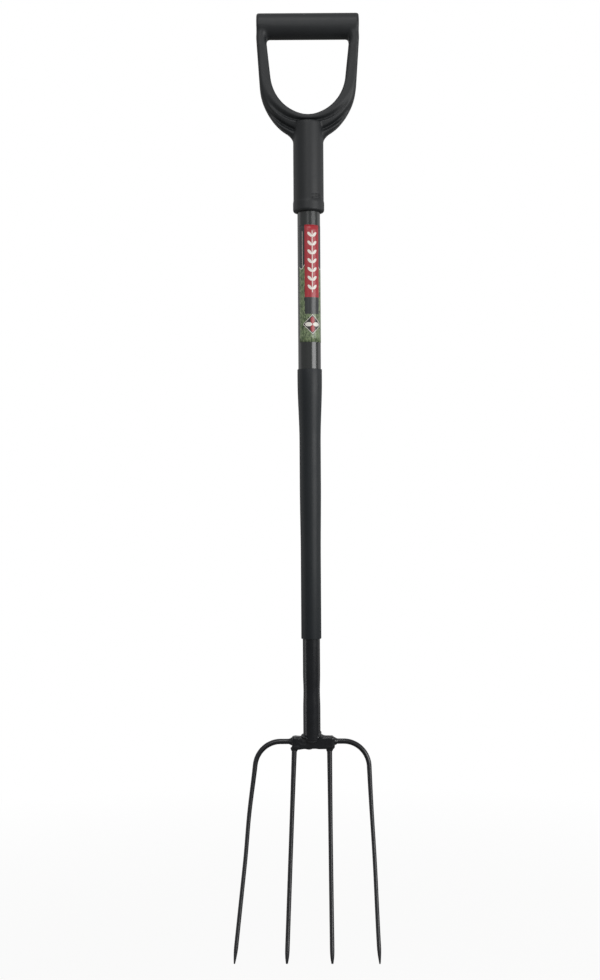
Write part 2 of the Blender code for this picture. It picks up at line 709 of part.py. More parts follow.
def tine_mesh(name, path, clearance=0.0):
    tip = path[-1][1]
    points = [(x, forward(z), z) for x, z in path]
    radii = [tine_radius(z, tip) + clearance for x, z in path]
    return wire_mesh(name, points, radii, ROD_DIAMETER / 2)


def make_tine(name, path, material):
    """A drawn steel rod, cut square where it butts against the bridge."""
    tine = add_part(name, tine_mesh(name, path), material)
    combine(tine, bridge_cutter(name + "_butt"), "DIFFERENCE")
    return tine


def make_rod_weld(name, centre, radii, path, material):
    """A bead round a rod where it meets the bridge, cut to the shapes of both."""
    def build(bm):
        bmesh.ops.create_uvsphere(bm, u_segments=20, v_segments=12, radius=1.0)
        bmesh.ops.scale(bm, verts=bm.verts, vec=radii)
        bmesh.ops.translate(bm, verts=bm.verts, vec=centre)
    weld = add_part(name, mesh_from(build, name), material)
    combine(weld, bridge_cutter(name + "_bridge"), "DIFFERENCE")
    combine(weld, add_cutter(name + "_rod", tine_mesh(name + "_rod", path, GAP)), "DIFFERENCE")
    return weld


def make_shaft_weld(material):
    """A fillet round the lower tube's foot, high at the sides and low in front and behind."""
    points, radius, count = [], SHAFT_BEAD / 2, 24
    for i in range(count):
        angle = math.tau * i / count
        low = math.sin(angle) ** 2
        reach = LOWER_RADIUS + SHAFT_BEAD_OUT - SHAFT_BEAD_DRAW_IN * low
        level = BRIDGE_TOP + SHAFT_BEAD_RISE - (FOOT_LIP + SHAFT_BEAD_SAG) * low
        points.append((reach * math.cos(angle), reach * math.sin(angle), level))
    ring = wire_mesh("weld_shaft", points, [radius] * count, radius, cyclic=True)
    weld = add_part("weld_shaft", ring, material)
    combine(weld, bridge_cutter("shaft_weld_bridge"), "DIFFERENCE")
    length = FOOT_LIP + SHAFT_BEAD + 2 * OVERCUT
    foot = Matrix.Translation((0.0, 0.0, FOOT_LEVEL - GAP + length / 2))
    tube = cylinder_mesh("shaft_weld_tube", LOWER_RADIUS + GAP, length, foot)
    combine(weld, add_cutter("shaft_weld_tube", tube), "DIFFERENCE")
    return weld


def make_head(steel, weld_metal):
    """Bridge, four tines and the welds that join them to it and to the tube."""
    add_part("bridge", bridge_mesh("bridge", 0.0), steel)
    make_shaft_weld(weld_metal)
    for side, word in ((-1, "left"), (1, "right")):
        outer = outer_path(side)
        make_tine(f"tine_outer_{word}", outer, steel)
        end = BRIDGE_SHIFT + side * (BRIDGE_LENGTH / 2 + OUTER_BEAD_OUT)
        make_rod_weld(f"weld_outer_{word}", (end, 0.0, ROD_LEVEL),
                      (OUTER_BEAD_LENGTH / 2, OUTER_BEAD / 2, OUTER_BEAD / 2), outer, weld_metal)
        inner = inner_path(side)
        make_tine(f"tine_inner_{word}", inner, steel)
        centre = (side * INNER_TOP_SPAN / 2, forward(BRIDGE_FOOT), BRIDGE_FOOT - INNER_BEAD_DROP)
        make_rod_weld(f"weld_inner_{word}", centre, (INNER_BEAD / 2, INNER_BEAD / 2, INNER_BEAD_HEIGHT / 2),
                      inner, weld_metal)


clear_scene()
PARTS = new_collection("pitchfork")
CUTTERS = new_collection("pitchfork_cutters")

grip_plastic = make_material("moulded_polypropylene", (0.026, 0.028, 0.030), 0.55)
sleeve_rubber = make_material("soft_sleeve", (0.020, 0.023, 0.025), 0.65)
grey_paint = make_material("grey_powder_coat", (0.070, 0.072, 0.070), 0.38)
black_paint = make_material("black_paint", (0.019, 0.020, 0.019), 0.35)
weld_paint = make_material("painted_weld", (0.019, 0.020, 0.019), 0.5)
printed_film = make_material("printed_film", (0.42, 0.05, 0.05), 0.3)
zinc_steel = make_material("zinc_plated_steel", (0.50, 0.50, 0.50), 0.35, 1.0)

make_grip(grip_plastic)
make_rivet(zinc_steel)
make_upper_shaft(grey_paint)
make_label(printed_film)
make_sleeve(sleeve_rubber)
make_lower_shaft(black_paint)
make_joint_pin(zinc_steel)
make_head(black_paint, weld_paint)
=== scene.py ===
"""Finishes and photographed details of a four-tined fork with a moulded D-grip.

The front faces -Y and the tool hangs by its grip, with the tines down. Lengths are in metres.
"""

import math

import bmesh
import bpy
from mathutils import Matrix, Vector, noise
from mathutils.geometry import interpolate_bezier


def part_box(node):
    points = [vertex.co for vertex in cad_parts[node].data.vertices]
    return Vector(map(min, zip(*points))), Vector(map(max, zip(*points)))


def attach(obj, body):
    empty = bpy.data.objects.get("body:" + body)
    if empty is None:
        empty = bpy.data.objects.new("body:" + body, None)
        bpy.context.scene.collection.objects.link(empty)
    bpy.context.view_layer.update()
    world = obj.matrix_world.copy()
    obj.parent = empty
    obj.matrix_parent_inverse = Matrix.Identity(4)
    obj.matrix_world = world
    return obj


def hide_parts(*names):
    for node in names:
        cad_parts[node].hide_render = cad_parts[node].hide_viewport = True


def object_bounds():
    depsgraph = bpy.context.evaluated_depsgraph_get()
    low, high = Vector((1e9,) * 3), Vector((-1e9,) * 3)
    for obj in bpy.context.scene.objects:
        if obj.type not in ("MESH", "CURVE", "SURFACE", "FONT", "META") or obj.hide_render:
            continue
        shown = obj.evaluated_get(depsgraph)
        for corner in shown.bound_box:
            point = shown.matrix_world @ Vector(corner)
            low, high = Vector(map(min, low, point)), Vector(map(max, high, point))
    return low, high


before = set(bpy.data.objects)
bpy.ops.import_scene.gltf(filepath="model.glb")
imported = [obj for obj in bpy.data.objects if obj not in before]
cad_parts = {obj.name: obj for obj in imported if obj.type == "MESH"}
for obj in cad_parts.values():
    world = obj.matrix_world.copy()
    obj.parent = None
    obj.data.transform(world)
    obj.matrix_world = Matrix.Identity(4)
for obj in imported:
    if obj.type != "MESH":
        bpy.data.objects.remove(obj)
cad_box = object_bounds()

# Upper tube: drawn steel, its foot swaged down to a neck over the lower tube.
# Powder coated in mid grey before the label and the grip go on.
MM = 0.001
MERGE_WITHIN = 0.0005 * MM
TURNED_SIDES = 96
WALL = 1.2 * MM
TUBE_EDGE = 0.4 * MM
NECK_OVER_LOWER = 1.35 * MM
SWAGE_BELOW_SLEEVE = 14 * MM
SWAGE_LENGTH = 77 * MM
upper_low, upper_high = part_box("upper_shaft")
sleeve_low, sleeve_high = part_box("shaft_sleeve")
lower_low, lower_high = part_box("lower_shaft")
UPPER_RADIUS = upper_high.x
LOWER_RADIUS = lower_high.x
NECK_RADIUS = LOWER_RADIUS + NECK_OVER_LOWER
SWAGE_TOP = sleeve_high.z - SWAGE_BELOW_SLEEVE


def linear(code):
    """A colour written as sRGB hex, turned to the linear light that a shader works in."""
    shares = [int(code[i:i + 2], 16) / 255 for i in (1, 3, 5)]
    return (*[s / 12.92 if s <= 0.04045 else ((s + 0.055) / 1.055) ** 2.4 for s in shares], 1.0)


def add_node(tree, kind, inputs=None, **settings):
    """Adds a node with its settings. An input takes a value, or the output of another node."""
    node = tree.nodes.new("ShaderNode" + kind)
    for name, value in settings.items():
        setattr(node, name, value)
    for name, value in (inputs or {}).items():
        if isinstance(value, bpy.types.NodeSocket):
            tree.links.new(value, node.inputs[name])
        else:
            node.inputs[name].default_value = value
    return node


def new_finish(name, **values):
    """A material of one surface, with its even values set on the shader."""
    finish = bpy.data.materials.new(name)
    finish.use_nodes = True
    shader = finish.node_tree.nodes["Principled BSDF"]
    for key, value in values.items():
        shader.inputs[key.replace("_", " ")].default_value = value
    return finish, finish.node_tree, shader


def mottled_finish(name, tones, roughness, cloud, grain, depth, strength, **values):
    """A finish whose colour and gloss drift between two levels across clouds, over a fine grain.

    The widths of a cloud and of a grain, and the grain's depth, are in metres.
    """
    finish, tree, shader = new_finish(name, **values)
    place = add_node(tree, "TexCoord").outputs["Object"]
    drift = add_node(tree, "TexNoise", {"Vector": place, "Scale": 1 / cloud, "Detail": 5.0,
                                        "Roughness": 0.6}).outputs["Fac"]
    tint = add_node(tree, "Mix", {"Factor": drift, "A": linear(tones[0]), "B": linear(tones[1])},
                    data_type="RGBA")
    gloss = add_node(tree, "MapRange", {"Value": drift, "To Min": roughness[0], "To Max": roughness[1]})
    relief = add_node(tree, "TexNoise", {"Vector": place, "Scale": 1 / grain, "Detail": 2.0})
    skin = add_node(tree, "Bump", {"Height": relief.outputs["Fac"], "Strength": strength, "Distance": depth})
    tree.links.new(tint.outputs["Result"], shader.inputs["Base Color"])
    tree.links.new(gloss.outputs["Result"], shader.inputs["Roughness"])
    tree.links.new(skin.outputs["Normal"], shader.inputs["Normal"])
    return finish


def smooth_step(share):
    """A share between 0 and 1, eased at both ends."""
    share = min(1.0, max(0.0, share))
    return share * share * (3 - 2 * share)


def turned(profile, sides=TURNED_SIDES, closed=True):
    """A bmesh turned about Z from (radius, height) points down its outer side and back up its bore."""
    bm = bmesh.new()
    verts = [bm.verts.new((radius, 0.0, height)) for radius, height in profile]
    pairs = list(zip(verts, verts[1:])) + ([(verts[-1], verts[0])] if closed else [])
    edges = [bm.edges.new(pair) for pair in pairs]
    bmesh.ops.spin(bm, geom=verts + edges, cent=(0, 0, 0), axis=(0, 0, 1), angle=math.tau,
                   steps=sides, use_merge=True, use_duplicate=False)
    return bm


def fit_piece(bm, name, finish, nodes, sharp=35):
    """Makes a bmesh a piece of the tool, shown in place of its CAD nodes."""
    bmesh.ops.remove_doubles(bm, verts=bm.verts, dist=MERGE_WITHIN)
    bmesh.ops.recalc_face_normals(bm, faces=bm.faces)
    mesh = bpy.data.meshes.new(name)
    bm.to_mesh(mesh)
    bm.free()
    mesh.materials.append(finish)
    mesh.shade_smooth()
    mesh.set_sharp_from_angle(angle=math.radians(sharp))
    piece = bpy.data.objects.new(name, mesh)
    bpy.context.scene.collection.objects.link(piece)
    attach(piece, "root")
    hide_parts(*nodes)
    return piece


def swage(wide, narrow, count=16):
    """(radius, height) points down the swage, from one radius to the other."""
    shares = [i / count for i in range(count + 1)]
    return [(wide + (narrow - wide) * smooth_step(s), SWAGE_TOP - SWAGE_LENGTH * s) for s in shares]


# Grey powder coat: even mid grey under a thin clear skin. The orange peel of baked powder, drawn a little
# coarse so that it shows, makes the highlight waver.
grey_coat = mottled_finish("grey_powder_coat_on_steel", ("#202323", "#292c2b"), (0.19, 0.29),
                           cloud=17 * MM, grain=1.4 * MM, depth=0.05 * MM, strength=0.12, Coat_Weight=0.25)

outer = [(UPPER_RADIUS - TUBE_EDGE, upper_high.z), (UPPER_RADIUS, upper_high.z - TUBE_EDGE)]
outer += swage(UPPER_RADIUS, NECK_RADIUS) + [(NECK_RADIUS, upper_low.z)]
inner = [(NECK_RADIUS - WALL, upper_low.z)] + swage(UPPER_RADIUS - WALL, NECK_RADIUS - WALL)[::-1]
inner += [(UPPER_RADIUS - WALL, upper_high.z)]
fit_piece(turned(outer + inner), "upper_tube", grey_coat, ["upper_shaft"])

# Sleeve: a soft tube of dipped or shrunk plastic, pulled over the joint of the two tubes, so that its
# outline follows the swage and then settles on the lower tube. Both of its ends are rolled round.
SLEEVE_GAP = 0.3 * MM
SLEEVE_TOP_WALL = 0.9 * MM
SLEEVE_FOOT_WALL = 1.5 * MM
SLEEVE_EDGE = 0.6 * MM
SLEEVE_SETTLE = 90 * MM
SLEEVE_BORE_STEP = 10 * MM
# Soft plastic: near black and matt, with a fine grain, drawn coarser than it is, that kills highlights
sleeve_skin = mottled_finish("matt_soft_plastic_sleeve", ("#060e13", "#0c151b"), (0.43, 0.57),
                             cloud=22 * MM, grain=0.7 * MM, depth=0.08 * MM, strength=0.25)

top_radius = UPPER_RADIUS + SLEEVE_GAP + SLEEVE_TOP_WALL
neck_radius = NECK_RADIUS + SLEEVE_GAP + SLEEVE_TOP_WALL
foot_radius = LOWER_RADIUS + SLEEVE_GAP + SLEEVE_FOOT_WALL
quarter = [math.radians(d) for d in (0, 22, 45, 68, 90)]
outer = [(top_radius - SLEEVE_EDGE * (1 - math.sin(a)), sleeve_high.z - SLEEVE_EDGE * (1 - math.cos(a)))
         for a in quarter]
outer += swage(top_radius, neck_radius, 24)
settle = [i / 12 for i in range(13)]
outer += [(neck_radius + (foot_radius - neck_radius) * smooth_step(s), upper_low.z - SLEEVE_SETTLE * s)
          for s in settle]
outer += [(foot_radius - SLEEVE_EDGE * (1 - math.cos(a)), sleeve_low.z + SLEEVE_EDGE * (1 - math.sin(a)))
          for a in quarter]
bore = [
    (LOWER_RADIUS + SLEEVE_GAP, sleeve_low.z),
    (LOWER_RADIUS + SLEEVE_GAP, upper_low.z - SLEEVE_BORE_STEP),
    (NECK_RADIUS + SLEEVE_GAP, upper_low.z),
]
bore += swage(UPPER_RADIUS + SLEEVE_GAP, NECK_RADIUS + SLEEVE_GAP)[::-1]
bore += [(UPPER_RADIUS + SLEEVE_GAP, sleeve_high.z)]
fit_piece(turned(outer + bore), "shaft_sleeve_skin", sleeve_skin, ["shaft_sleeve"])

# Lower tube: drawn steel, its top a spigot inside the neck above, with a shallow pinched waist below the
# sleeve. Its foot laps the bridge and is welded round.
WAIST_BELOW_SLEEVE = 66 * MM
WAIST_HALF_LENGTH = 22 * MM
WAIST_DEPTH = 0.5 * MM
# Stoved enamel: a thin even black with a soft gloss, a little patchy, over orange peel drawn a bit coarse
black_paint = mottled_finish("black_stoved_enamel_on_steel", ("#0a0c10", "#13161b"), (0.2, 0.34),
                             cloud=11 * MM, grain=1.1 * MM, depth=0.05 * MM, strength=0.2)

waist_level = sleeve_low.z - WAIST_BELOW_SLEEVE
waist = [(LOWER_RADIUS - WAIST_DEPTH * math.cos(math.pi * s / 2) ** 2, waist_level - WAIST_HALF_LENGTH * s)
         for s in (i / 8 for i in range(-8, 9))]
outer = [(LOWER_RADIUS, lower_high.z)] + waist + [(LOWER_RADIUS, lower_low.z)]
inner = [(LOWER_RADIUS - WALL, lower_low.z), (LOWER_RADIUS - WALL, lower_high.z)]
fit_piece(turned(outer + inner), "lower_tube", black_paint, ["lower_shaft"])

# D-grip: one injection moulding in black polypropylene, with a round crossbar, two arms, a ribbed yoke
# and a socket that is pushed over the tube. Every inside corner is a soft moulded fillet.
grip_low, grip_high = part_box("d_grip")
BAR_RADIUS = grip_high.z / 2
BAR_LENGTH = 128.6 * MM
BAR_END_ROUND = 2.6 * MM
# Hand opening: its widths, the drops below the crossbar's underside, and its upper corners. A pull is how
# far a curve's end runs straight on, as a share of the curve's size.
OPENING_TOP = 103.6 * MM
OPENING_WAIST = 94 * MM
OPENING_WAIST_DROP = 49 * MM
OPENING_DROP = 96.8 * MM
OPENING_CORNER = 11 * MM
OPENING_CORNER_TOP = 6.8 * MM
WAIST_PULL, LOW_PULL = 0.7, 0.35
# Outer edge: its widths across both arms, their drops, and how it flares in to the socket
ARM_TOP = 129.2 * MM
SHOULDER = 121.2 * MM
SHOULDER_DROP = 60.7 * MM
FLARE = 58.4 * MM
FLARE_DROP = 117.2 * MM
FLARE_ANGLE = math.radians(33)
YOKE_DROP = 134.7 * MM
SHOULDER_PULL, FLARE_PULL, NECK_PULL = 0.97, 0.38, 0.4
EDGE_STEPS = 400
# How far this shape sinks into the bar and the socket, and each half passes the middle, so that all fuses
EDGE_SINK = 0.6 * MM
PAST_MIDDLE = 1.0 * MM
# Thickness of the arms, which swell up to the bar, and of the yoke, which thins down to the socket
YOKE_HALF_DEPTH = 13 * MM
YOKE_FOOT_HALF_DEPTH = 5 * MM
YOKE_TAPER = 22 * MM
ARM_TOP_SWELL = 1.5 * MM
ARM_SWELL_LENGTH = 30 * MM
LEAST_HALF_DEPTH = 2.0 * MM
# An arm's faces bow: they are highest along a ridge this far from the opening, and lower by the crown times
# the square of the distance from it
ARM_RIDGE = 8 * MM
ARM_CROWN = 22.0
# Rounded rims in millimetres, with what the arms' tops and the yoke add to them
INNER_ROUND, TOP_ADDS = 2.2, 7
OUTER_ROUND, YOKE_ADDS = 3.0, 2.0
# Where the arms' tops end, and the yoke and its two channels begin, as shares of the way round the opening,
# with the share that each takes to blend in
TOP_ENDS, TOP_BLEND = 0.17, 0.1
YOKE_BEGINS, YOKE_BLEND = 0.38, 0.25
UPPER_BEGINS, UPPER_BLEND = 0.60, 0.3
LOWER_BEGINS, LOWER_BLEND = 0.58, 0.26
# The yoke's sunk web and the two channels between its three ribs
WEB_SLOPE = 0.3
WEB_DEPTH = 3.5 * MM
UPPER_CHANNEL_DEPTH = 3.8 * MM
LOWER_CHANNEL_DEPTH = 5.0 * MM
UPPER_FAR_SLOPE = 2.4 * MM
LOWER_NEAR_SLOPE = 3.2 * MM
LOWER_FAR_SLOPE = 4.5 * MM
SHALLOWER_AT_SOCKET = 0.4
# Distances from the opening in millimetres, each at a share of the way round it: the inner rim's width,
# and the middles of the two channels
RIM_STOPS = ((0.36, 13.0), (0.47, 10.5), (0.56, 9.0), (0.65, 7.5), (0.76, 6.4), (0.88, 5.6), (1.0, 5.2))
UPPER_STOPS = ((0.60, 13.2), (0.76, 11.6), (0.87, 10.2), (0.93, 8.6), (1.0, 6.9))
LOWER_STOPS = ((0.60, 17.4), (0.76, 19.4), (1.0, 21.6))
SOCKET_RADIUS = UPPER_RADIUS + 4.8 * MM
SOCKET_TOP = -105.0 * MM
SOCKET_EDGE = 1.0 * MM
COLLAR_TOP = -205.0 * MM
COLLAR_PROUD = 0.6 * MM
COLLAR_FOOT_INSET = 1.6 * MM
COLLAR_FOOT_RISE = 1.8 * MM
GRIP_VOXEL = 0.82 * MM
FLASH_HEIGHT = 0.08 * MM
FLASH_REACH = 0.7 * MM


def on_curve(points, share):
    """The place at a share of the way along a row of points."""
    spot = share * (len(points) - 1)
    index = min(int(spot), len(points) - 2)
    return points[index].lerp(points[index + 1], spot - index)


def even_row(points, count):
    """The same line through evenly spaced points."""
    runs = [0.0]
    for start, end in zip(points, points[1:]):
        runs.append(runs[-1] + (end - start).length)
    row, index = [], 0
    for i in range(count + 1):
        run = runs[-1] * i / count
        while index < len(points) - 2 and runs[index + 1] < run:
            index += 1
        step = runs[index + 1] - runs[index]
        row.append(points[index].lerp(points[index + 1], (run - runs[index]) / step))
    return row


def opening_edge():
    """(x, z) points down the +X side of the hand opening, from inside the crossbar to its lowest point."""
    corner = Vector((OPENING_TOP / 2 - OPENING_CORNER, OPENING_CORNER_TOP - OPENING_CORNER))
    turn = [corner + OPENING_CORNER * Vector((math.cos(a), math.sin(a)))
            for a in (math.radians(d) for d in range(90, -1, -10))]
    waist = Vector((OPENING_WAIST / 2, -OPENING_WAIST_DROP))
    low = Vector((0.0, -OPENING_DROP))
    height = OPENING_DROP - OPENING_WAIST_DROP
    down = (waist - Vector((OPENING_TOP / 2, 0.0))).normalized()
    side = interpolate_bezier(waist, waist + down * WAIST_PULL * height,
                              low + Vector((LOW_PULL * height, 0.0)), low, 40)
    return even_row(turn + [Vector(p) for p in side], EDGE_STEPS)


def outer_edge():
    """(x, z) points down the outer side of the +X arm, round the yoke and in to the middle."""
    top = Vector((ARM_TOP / 2, 0.0))
    shoulder = Vector((SHOULDER / 2, -SHOULDER_DROP))
    flare = Vector((FLARE / 2, -FLARE_DROP))
    neck = Vector((SOCKET_RADIUS - EDGE_SINK, -YOKE_DROP))
    down = (shoulder - top).normalized()
    slope = Vector((math.cos(FLARE_ANGLE), math.sin(FLARE_ANGLE)))
    fall = (SHOULDER - FLARE) / 2
    side = interpolate_bezier(shoulder, shoulder + down * SHOULDER_PULL * fall,
                              flare + slope * FLARE_PULL * fall, flare, 30)
    pull = NECK_PULL * (neck - flare).length
    fillet = interpolate_bezier(flare, flare - slope * pull, neck + Vector((0.0, pull)), neck, 14)
    start = [Vector((BAR_LENGTH / 2 - EDGE_SINK, BAR_RADIUS)), top]
    inside = [Vector((-PAST_MIDDLE, -YOKE_DROP))]
    return even_row(start + [Vector(p) for p in side] + [Vector(p) for p in fillet[1:]] + inside, EDGE_STEPS)


def rounded_rim(distance, radius):
    """How far a face has dropped at a distance from its rounded rim."""
    if distance >= radius:
        return 0.0
    return radius - math.sqrt(radius ** 2 - (radius - max(0.0, distance)) ** 2)


def channel(distance, near, middle, far):
    """How much of a channel's full depth is there: down a slope to its middle, and up again."""
    return smooth_step((distance - near) / (middle - near)) * smooth_step((far - distance) / (far - middle))


def along_arm(share, stops):
    """The distance in metres at a share of the way round the opening, between (share, millimetres) stops."""
    for (start, low), (end, high) in zip(stops, stops[1:]):
        if share <= end:
            return MM * (low + (high - low) * max(0.0, (share - start) / (end - start)))
    return MM * stops[-1][1]


def half_depth(spot, inner_edge, outer_row):
    """Half the thickness of an arm or the yoke at a place in its outline."""
    gaps = [(spot - p).length for p in inner_edge[::4]]
    distance = min(gaps)
    share = gaps.index(distance) / (len(gaps) - 1)
    to_rim = min((spot - p).length for p in outer_row[::4])
    yoke = smooth_step((share - YOKE_BEGINS) / YOKE_BLEND)
    inner_round = (INNER_ROUND + TOP_ADDS * smooth_step((TOP_ENDS - share) / TOP_BLEND)) * MM
    outer_round = (OUTER_ROUND + YOKE_ADDS * yoke) * MM
    depth = YOKE_HALF_DEPTH + ARM_TOP_SWELL * smooth_step(1 + spot.y / ARM_SWELL_LENGTH)
    near_socket = smooth_step((YOKE_TAPER - YOKE_DROP - spot.y) / YOKE_TAPER)
    depth += (YOKE_FOOT_HALF_DEPTH - YOKE_HALF_DEPTH) * near_socket
    depth -= rounded_rim(distance, inner_round) + rounded_rim(to_rim, outer_round)
    rim = along_arm(share, RIM_STOPS)
    first = along_arm(share, UPPER_STOPS)
    second = along_arm(share, LOWER_STOPS)
    depth -= ARM_CROWN * (distance - ARM_RIDGE) ** 2 * (1 - yoke)
    depth -= min(WEB_DEPTH, WEB_SLOPE * max(0.0, distance - rim)) * yoke * (1 - near_socket)
    upper = UPPER_CHANNEL_DEPTH * channel(distance, rim, first, first + UPPER_FAR_SLOPE)
    upper *= smooth_step((share - UPPER_BEGINS) / UPPER_BLEND)
    lower = LOWER_CHANNEL_DEPTH * channel(distance, second - LOWER_NEAR_SLOPE, second,
                                          second + LOWER_FAR_SLOPE)
    lower *= smooth_step((share - LOWER_BEGINS) / LOWER_BLEND)
    return max(LEAST_HALF_DEPTH, depth - (upper + lower) * (1 - SHALLOWER_AT_SOCKET * near_socket))


def yoke_side(bm):
    """The +X arm and half of the yoke: two faces lofted between the edges, joined round their rims."""
    inner, outer = opening_edge(), outer_edge()
    faces = []
    for front in (-1, 1):
        made = bmesh.ops.create_grid(bm, x_segments=160, y_segments=50, size=1.0)["verts"]
        for vert in made:
            along, across = (vert.co.x + 1) / 2, (vert.co.y + 1) / 2
            start, end = on_curve(inner, along), on_curve(outer, along)
            # The last row starts past the middle too, so that the two halves overlap
            if along > 0.999:
                start = Vector((-PAST_MIDDLE, -OPENING_DROP))
            spot = start.lerp(end, across)
            vert.co = (spot.x, front * half_depth(spot, inner, outer), spot.y)
        faces.append(made)
    rims = []
    for made in faces:
        edges = {edge for vert in made for edge in vert.link_edges if edge.is_boundary}
        rims.append(list(edges))
    bmesh.ops.bridge_loops(bm, edges=rims[0] + rims[1])


bm = bmesh.new()
yoke_side(bm)
other = bmesh.ops.duplicate(bm, geom=bm.verts[:] + bm.edges[:] + bm.faces[:])["geom"]
flipped = [item for item in other if isinstance(item, bmesh.types.BMVert)]
bmesh.ops.scale(bm, verts=flipped, vec=(-1, 1, 1))
bmesh.ops.reverse_faces(bm, faces=[item for item in other if isinstance(item, bmesh.types.BMFace)])
turn = Matrix.Translation((0.0, 0.0, BAR_RADIUS)) @ Matrix.Rotation(math.pi / 2, 4, "Y")
bar = bmesh.ops.create_cone(bm, cap_ends=True, segments=TURNED_SIDES, radius1=BAR_RADIUS, radius2=BAR_RADIUS,
                            depth=BAR_LENGTH, matrix=turn)["verts"]
rims = {edge for vert in bar for edge in vert.link_edges if abs(edge.verts[0].co.x - edge.verts[1].co.x) < MM}
bmesh.ops.bevel(bm, geom=list(rims), offset=BAR_END_ROUND, segments=5, profile=0.5, affect="EDGES",
                material=-1)
collar = SOCKET_RADIUS + COLLAR_PROUD
profile = [
    (0.0, SOCKET_TOP),
    (SOCKET_RADIUS - SOCKET_EDGE, SOCKET_TOP),
    (SOCKET_RADIUS, SOCKET_TOP - SOCKET_EDGE),
    (SOCKET_RADIUS, COLLAR_TOP + 0.5 * MM),
    (collar, COLLAR_TOP - 0.8 * MM),
    (collar, grip_low.z + COLLAR_FOOT_RISE),
    (collar - COLLAR_FOOT_INSET, grip_low.z),
    (0.0, grip_low.z),
]
socket = turned(profile, closed=False)
bmesh.ops.recalc_face_normals(socket, faces=socket.faces)
part = bpy.data.meshes.new("socket_blank")
socket.to_mesh(part)
socket.free()
bmesh.ops.recalc_face_normals(bm, faces=bm.faces)
bm.from_mesh(part)
bpy.data.meshes.remove(part)


def fused(bm, voxel):
    """The solids in a bmesh fused into one skin of even faces."""
    mesh = bpy.data.meshes.new("blank")
    bm.to_mesh(mesh)
    bm.free()
    blank = bpy.data.objects.new("blank", mesh)
    bpy.context.scene.collection.objects.link(blank)
    remesh = blank.modifiers.new("Fuse", "REMESH")
    remesh.mode = "VOXEL"
    remesh.voxel_size = voxel
    skin = bpy.data.meshes.new_from_object(blank.evaluated_get(bpy.context.evaluated_depsgraph_get()))
    bpy.data.objects.remove(blank)
    bpy.data.meshes.remove(mesh)
    result = bmesh.new()
    result.from_mesh(skin)
    bpy.data.meshes.remove(skin)
    return result


def soften(bm, rounds, chosen=None):
    """Smooths the chosen points of a bmesh, all of them if none are chosen."""
    verts = [vert for vert in bm.verts if chosen is None or chosen(vert.co)]
    for _ in range(rounds):
        bmesh.ops.smooth_vert(bm, verts=verts, factor=0.5, use_axis_x=True, use_axis_y=True, use_axis_z=True)


# The arms run into the bar, and the yoke's foot into the socket, through wider fillets than the rest
bm = fused(bm, GRIP_VOXEL)
soften(bm, 4)
soften(bm, 20, lambda p: abs(p.x) > 46 * MM and -9 * MM < p.z < 14 * MM)
soften(bm, 4, lambda p: 10 * MM < abs(p.x) < 27 * MM and -140 * MM < p.z < -108 * MM)

# The two halves of the mould meet in the plane of the arms and leave a hairline of flash there
bm.normal_update()
for vert in bm.verts:
    vert.co += FLASH_HEIGHT * max(0.0, 1 - abs(vert.co.y) / FLASH_REACH) * vert.normal

# Polypropylene: near black, spark eroded in the mould to a dull texture that spreads highlights. It is
# drawn coarser than the real one, so that it shows.
grip_plastic = mottled_finish("moulded_black_polypropylene", ("#151719", "#1e2124"), (0.43, 0.57),
                              cloud=20 * MM, grain=0.65 * MM, depth=0.08 * MM, strength=0.3)
grip = fit_piece(bm, "moulded_grip", grip_plastic, ["d_grip"], sharp=60)

# Four fine lines in relief on the front of the socket, just above its collar. They come out of the same
# mould as the grip, in the same plastic.
LINES = 4
LINE_RADIUS = 0.45 * MM
LINE_ABOVE_COLLAR = 1.8 * MM
LINE_PITCH = 1.9 * MM
LINE_START = math.radians(-79)
LINE_SWEEP = math.radians(38)
bm = bmesh.new()
for i in range(LINES):
    level = COLLAR_TOP + LINE_ABOVE_COLLAR + LINE_PITCH * i
    turn = Matrix.Translation((SOCKET_RADIUS, 0.0, level)) @ Matrix.Rotation(math.pi / 2, 4, "X")
    start = Matrix.Rotation(LINE_START, 4, "Z") @ turn
    ring = bmesh.ops.create_circle(bm, cap_ends=True, segments=10, radius=LINE_RADIUS, matrix=start)["verts"]
    faces = list({face for vert in ring for face in vert.link_faces})
    edges = list({edge for face in faces for edge in face.edges})
    bmesh.ops.spin(bm, geom=ring + faces + edges, cent=(0, 0, 0), axis=(0, 0, 1), angle=LINE_SWEEP,
                   steps=16, use_duplicate=False)
fit_piece(bm, "moulded_lines", grip_plastic, ["d_grip"], sharp=60)

# Bore of the socket: left by a core pin in the mould, a slip fit on the tube. It is cut after the skin is
# smooth, so that its edge stays crisp.
BORE_DEPTH = 95 * MM
BORE_GAP = 0.3 * MM
BORE_OVERCUT = 10 * MM
cutter_mesh = bpy.data.meshes.new("socket_bore")
bm = bmesh.new()
bmesh.ops.create_cone(bm, cap_ends=True, segments=TURNED_SIDES, radius1=UPPER_RADIUS + BORE_GAP,
                      radius2=UPPER_RADIUS + BORE_GAP, depth=BORE_DEPTH + BORE_OVERCUT,
                      matrix=Matrix.Translation((0.0, 0.0, grip_low.z + BORE_DEPTH / 2 - BORE_OVERCUT / 2)))
bm.to_mesh(cutter_mesh)
bm.free()
cutter = bpy.data.objects.new("socket_bore", cutter_mesh)
bpy.context.scene.collection.objects.link(cutter)
cutter.hide_render = True
cutter.hide_viewport = True
bore = grip.modifiers.new("Bore", "BOOLEAN")
bore.operation = "DIFFERENCE"
bore.solver = "MANIFOLD"
bore.object = cutter

